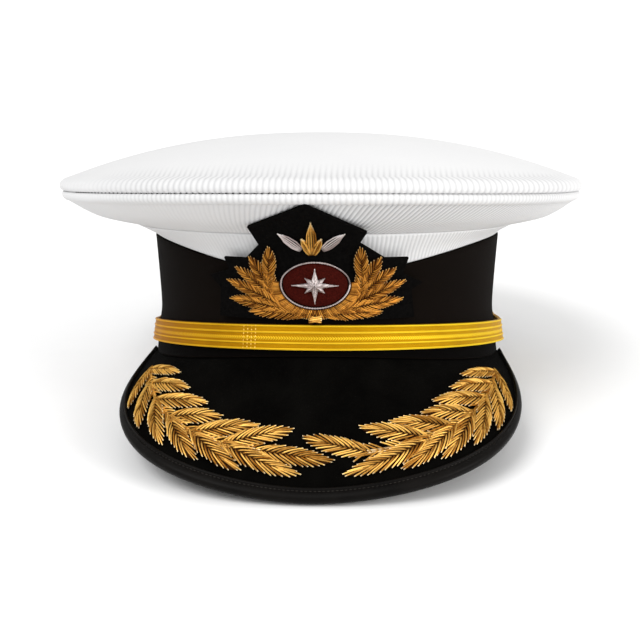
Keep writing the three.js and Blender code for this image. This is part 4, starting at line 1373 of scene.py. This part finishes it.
def makeStar():
    draw = np.random.default_rng(star["seed"])
    inner, half = star["notch"] * math.cos(math.pi / 8), star["notch"] * math.sin(math.pi / 8)
    s = np.linspace(0, 1, star["threadPoints"])
    strands = []
    for i in range(8):
        a = i * math.pi / 4
        reach = star["short"] if i % 2 else star["long"]
        ahead, square = np.array([math.cos(a), math.sin(a)]), np.array([-math.sin(a), math.cos(a)])
        count = int(reach / star["thread"])
        for side in (-1, 1):
            for k in range(count):
                t = (k + 0.5) / count
                ridge = ahead * reach * t
                out = min(star["farthest"], t + star["lead"]) * reach
                wide = half * out / inner if out < inner else half * (reach - out) / (reach - inner)
                edge = ahead * out + square * side * max(wide, star["leastHalf"])
                flat = ridge + (edge - ridge) * s[:, None]
                fall = 1 - star["edgeFall"] * s ** star["edgeCurve"]
                high = star["thick"] * (1 - star["tipFall"] * t) * fall + draw.uniform(0, star["uneven"])
                lift = medallion["rise"] + star["base"] + high - star["sunk"]
                x, z = medallion["x"] + flat[:, 0] * star["stretch"], medallion["z"] + flat[:, 1]
                strands.append(laid(onBadge(x, z, lift)))
    sizes = star["thread"] / 2 * np.interp(s, (0, 1), (1, 0.8))
    return wirePiece("badge_star", "silver", strands, [sizes] * len(strands))


# Leaves of the wreath: root and tip, each across from the middle of the oval and up the patch.
wreathLeaves = (
    (4.5, 29.8, 27, 30.5), (10, 31.5, 35, 35.5), (15, 34, 36, 43.5), (18, 38, 32.5, 49.5),
    (19.5, 42, 26.5, 54.5), (19, 46, 18.5, 59.5), (18.4, 37.5, 19.6, 51.5),
)
wreathLeaf = {
    "width": 6.0, "height": 1.9, "seat": 0.4, "thick": 0.52, "pitch": 1.05, "lead": 4.6,
    "points": 6, "sides": 5, "bend": 0.4, "overStep": 0.15,
}
# Two wires join the leaves, and short strands round the oval cover their roots. Angles in degrees.
wreathStem = {
    "foot": -72, "head": 12, "points": 40, "across": 18, "up": 13.6, "apart": 0.45,
    "lift": 1.0, "thick": 0.42,
}
wreathCollar = {
    "from": -90, "to": 6, "step": 2.6, "points": 5, "start": 1.3, "long": 4.0, "lean": 0.06,
    "lift": 0.9, "high": 0.7,
}


def makeWreath(side, sign, seed):
    middle = medallion["x"]
    leaves = []
    for i, (rootX, rootZ, tipX, tipZ) in enumerate(wreathLeaves):
        leaves.append({
            "root": (middle + sign * rootX, rootZ), "tip": (middle + sign * tipX, tipZ),
            "bend": wreathLeaf["bend"] * sign, "over": wreathLeaf["overStep"] * (i % 3),
        })
    extra = []
    turn = np.linspace(wreathStem["foot"], wreathStem["head"], wreathStem["points"]) * deg
    for grow in (-wreathStem["apart"], wreathStem["apart"]):
        x = middle + sign * (wreathStem["across"] + grow) * np.cos(turn)
        z = medallion["z"] + (wreathStem["up"] + grow) * np.sin(turn)
        extra.append((laid(onBadge(x, z, wreathStem["lift"])), wreathStem["thick"]))
    s = np.linspace(0, 1, wreathCollar["points"])
    out = wreathCollar["start"] + wreathCollar["long"] * s
    lift = wreathCollar["lift"] + wreathCollar["high"] * np.sin(s * math.pi)
    for a in np.arange(wreathCollar["from"], wreathCollar["to"], wreathCollar["step"]) * deg:
        leaning = a + wreathCollar["lean"] * s
        x = middle + sign * (medallion["half"] + out) * np.cos(leaning)
        z = medallion["z"] + (medallion["tall"] + out) * np.sin(leaning)
        extra.append((laid(onBadge(x, z, lift)), wreathLeaf["thick"] / 2))
    settings = {**wreathLeaf, "seed": seed}
    return leafWork("badge_wreath_" + side, "bullion", leaves, onBadge, settings, extra, look="deep_bullion")


# A fan of plain leaves over the oval, each a row of wires side by side that narrow to its point. A
# leaf is its angle, where it starts and ends from the foot of the fan, and its width.
fan = {
    "x": -2, "z": 55.2, "goldWire": 0.8, "silverWire": 0.7, "wireHalf": 0.42, "points": 9, "shorter": 0.16,
    "gold": ((0, 1.2, 15.5, 4.6), (26, 1.2, 9.5, 3.4), (-26, 1.2, 9.5, 3.4)), "silver": (52, 5.4, 17, 4),
    "wide": ((0, 0.35, 0.75, 1), (0.55, 1, 0.85, 0.3)), "tall": ((0, 0.2, 0.8, 1), (0.6, 1, 1, 0.5)),
    "lift": 0.5, "high": 0.75, "rounded": 0.7,
}


def makeRays(name, slot, rays, wireWidth):
    s = np.linspace(0, 1, fan["points"])
    lines = []
    for angle, start, end, wide in rays:
        ahead = np.array([math.sin(angle * deg), math.cos(angle * deg)])
        square = np.array([ahead[1], -ahead[0]])
        spread = np.interp(s, *fan["wide"]) * (wide - wireWidth) / 2
        count = int(wide / wireWidth)
        for k in range(count):
            side = (k - (count - 1) / 2) / max((count - 1) / 2, 1)
            reach = start + (end - start) * (s * (1 - fan["shorter"] * abs(side)))
            x = fan["x"] + ahead[0] * reach + square[0] * side * spread
            z = fan["z"] + ahead[1] * reach + square[1] * side * spread
            high = fan["high"] * np.sqrt(np.clip(1 - side ** 2 * fan["rounded"], 0, 1))
            lines.append(laid(onBadge(x, z, fan["lift"] + high * np.interp(s, *fan["tall"]))))
    return wirePiece(name, slot, lines, [wireWidth * fan["wireHalf"]] * len(lines))


# The knot at the foot of the wreath: two bundles of wire that cross.
knot = {
    "half": 2.5, "low": 27.4, "high": 28.4, "apart": 0.8, "strand": 0.42, "points": 9,
    "lift": 0.9, "arch": 0.9, "over": 0.2,
}


def makeKnot():
    s = np.linspace(0, 1, knot["points"])
    lines = []
    for sign in (-1, 1):
        for off in (-knot["apart"], 0, knot["apart"]):
            x = medallion["x"] + sign * knot["half"] * (2 * s - 1)
            z = knot["low"] + (knot["high"] - knot["low"]) * s + off
            lift = knot["lift"] + knot["arch"] * np.sin(s * math.pi) + knot["over"] * sign
            lines.append(laid(onBadge(x, z, lift)))
    return wirePiece("badge_knot", "bullion", lines, [knot["strand"]] * len(lines))


makePatch()
fieldPiece = makeField()
makeBadgeCord()
makeStar()
makeWreath("left", -1, seed=11)
makeWreath("right", 1, seed=12)
makeRays("badge_rays_gold", "bullion", fan["gold"], fan["goldWire"])
angle, *silverSizes = fan["silver"]
makeRays("badge_ray_left", "silver", [(-angle, *silverSizes)], fan["silverWire"])
makeRays("badge_ray_right", "silver", [(angle, *silverSizes)], fan["silverWire"])
makeKnot()
print("stage 9: badge made")

# A wide pale card for a floor.
floorCard = {"half": 8.0, "grain": 40, "dull": (0.93, 0.93, 0.93), "bright": (0.95, 0.95, 0.95)}


def studioFloor():
    half = floorCard["half"]
    corners = np.array([(-half, -half, 0), (half, -half, 0), (half, half, 0), (-half, half, 0)])
    piece = pieceFrom("studio_floor", corners, [[0, 1, 2, 3]])
    material, tree, shader = newMaterial("floor_card", Roughness=0.9, Specular_IOR_Level=0.1)
    speck = noise(tree, objectPlace(tree), floorCard["grain"], detail=2)
    colour = mixedColour(tree, speck, floorCard["dull"], floorCard["bright"])
    tree.links.new(colour, shader.inputs["Base Color"])
    dressed(piece, material)


# Soft lights by the way they come from, how wide they are seen, and their strength.
softLights = {
    "key": {"from": (-0.5, -0.6, 1.0), "wide": 35, "strength": 1.5, "colour": (1, 1, 1)},
    "right": {"from": (0.9, -0.55, 0.38), "wide": 30, "strength": 1.65, "colour": (1, 0.99, 0.97)},
}
skyStrength = 0.76


def studioLights():
    for name, light in softLights.items():
        data = bpy.data.lights.new(name, "SUN")
        data.angle = light["wide"] * deg
        data.energy = light["strength"]
        data.color = light["colour"]
        lamp = bpy.data.objects.new(name, data)
        lamp.rotation_euler = (-Vector(light["from"])).to_track_quat("-Z", "Y").to_euler()
        bpy.context.scene.collection.objects.link(lamp)
    world = bpy.data.worlds.new("studio")
    world.use_nodes = True
    world.node_tree.nodes["Background"].inputs[0].default_value = (1, 1, 1, 1)
    world.node_tree.nodes["Background"].inputs[1].default_value = skyStrength
    bpy.context.scene.world = world
    bpy.context.scene.view_settings.view_transform = "Standard"


# The camera looks at the cap from a little above its own level, in the cap's tilted frame.
camera = {
    "azimuth": 2.3, "elevation": 6.5, "distance": 620, "target": (0, 0, 35), "lens": 70.97,
    "shiftX": -0.0117, "shiftY": -0.071,
}


def addCamera():
    a, e = camera["azimuth"] * deg, camera["elevation"] * deg
    back = np.array([math.sin(a) * math.cos(e), -math.cos(a) * math.cos(e), math.sin(e)])
    target = np.array(camera["target"], float)
    spot, aim = laid(target + back * camera["distance"]), laid(target)
    above = laid(target + back * camera["distance"] + [0, 0, 10]) - spot
    ahead = unit(aim - spot)
    right = unit(np.cross(ahead, above))
    up = np.cross(right, ahead)
    data = bpy.data.cameras.new("view")
    data.lens = camera["lens"]
    data.shift_x, data.shift_y = camera["shiftX"], camera["shiftY"]
    data.clip_start, data.clip_end = 0.01, 50
    made = bpy.data.objects.new("view", data)
    turn = np.eye(4)
    turn[:3, 0], turn[:3, 1], turn[:3, 2], turn[:3, 3] = right, up, -ahead, spot
    bpy.context.scene.collection.objects.link(made)
    made.matrix_world = Matrix(turn.tolist())
    bpy.context.scene.camera = made


studioFloor()
studioLights()
addCamera()
print("stage 10: studio ready")

bpy.context.view_layer.update()
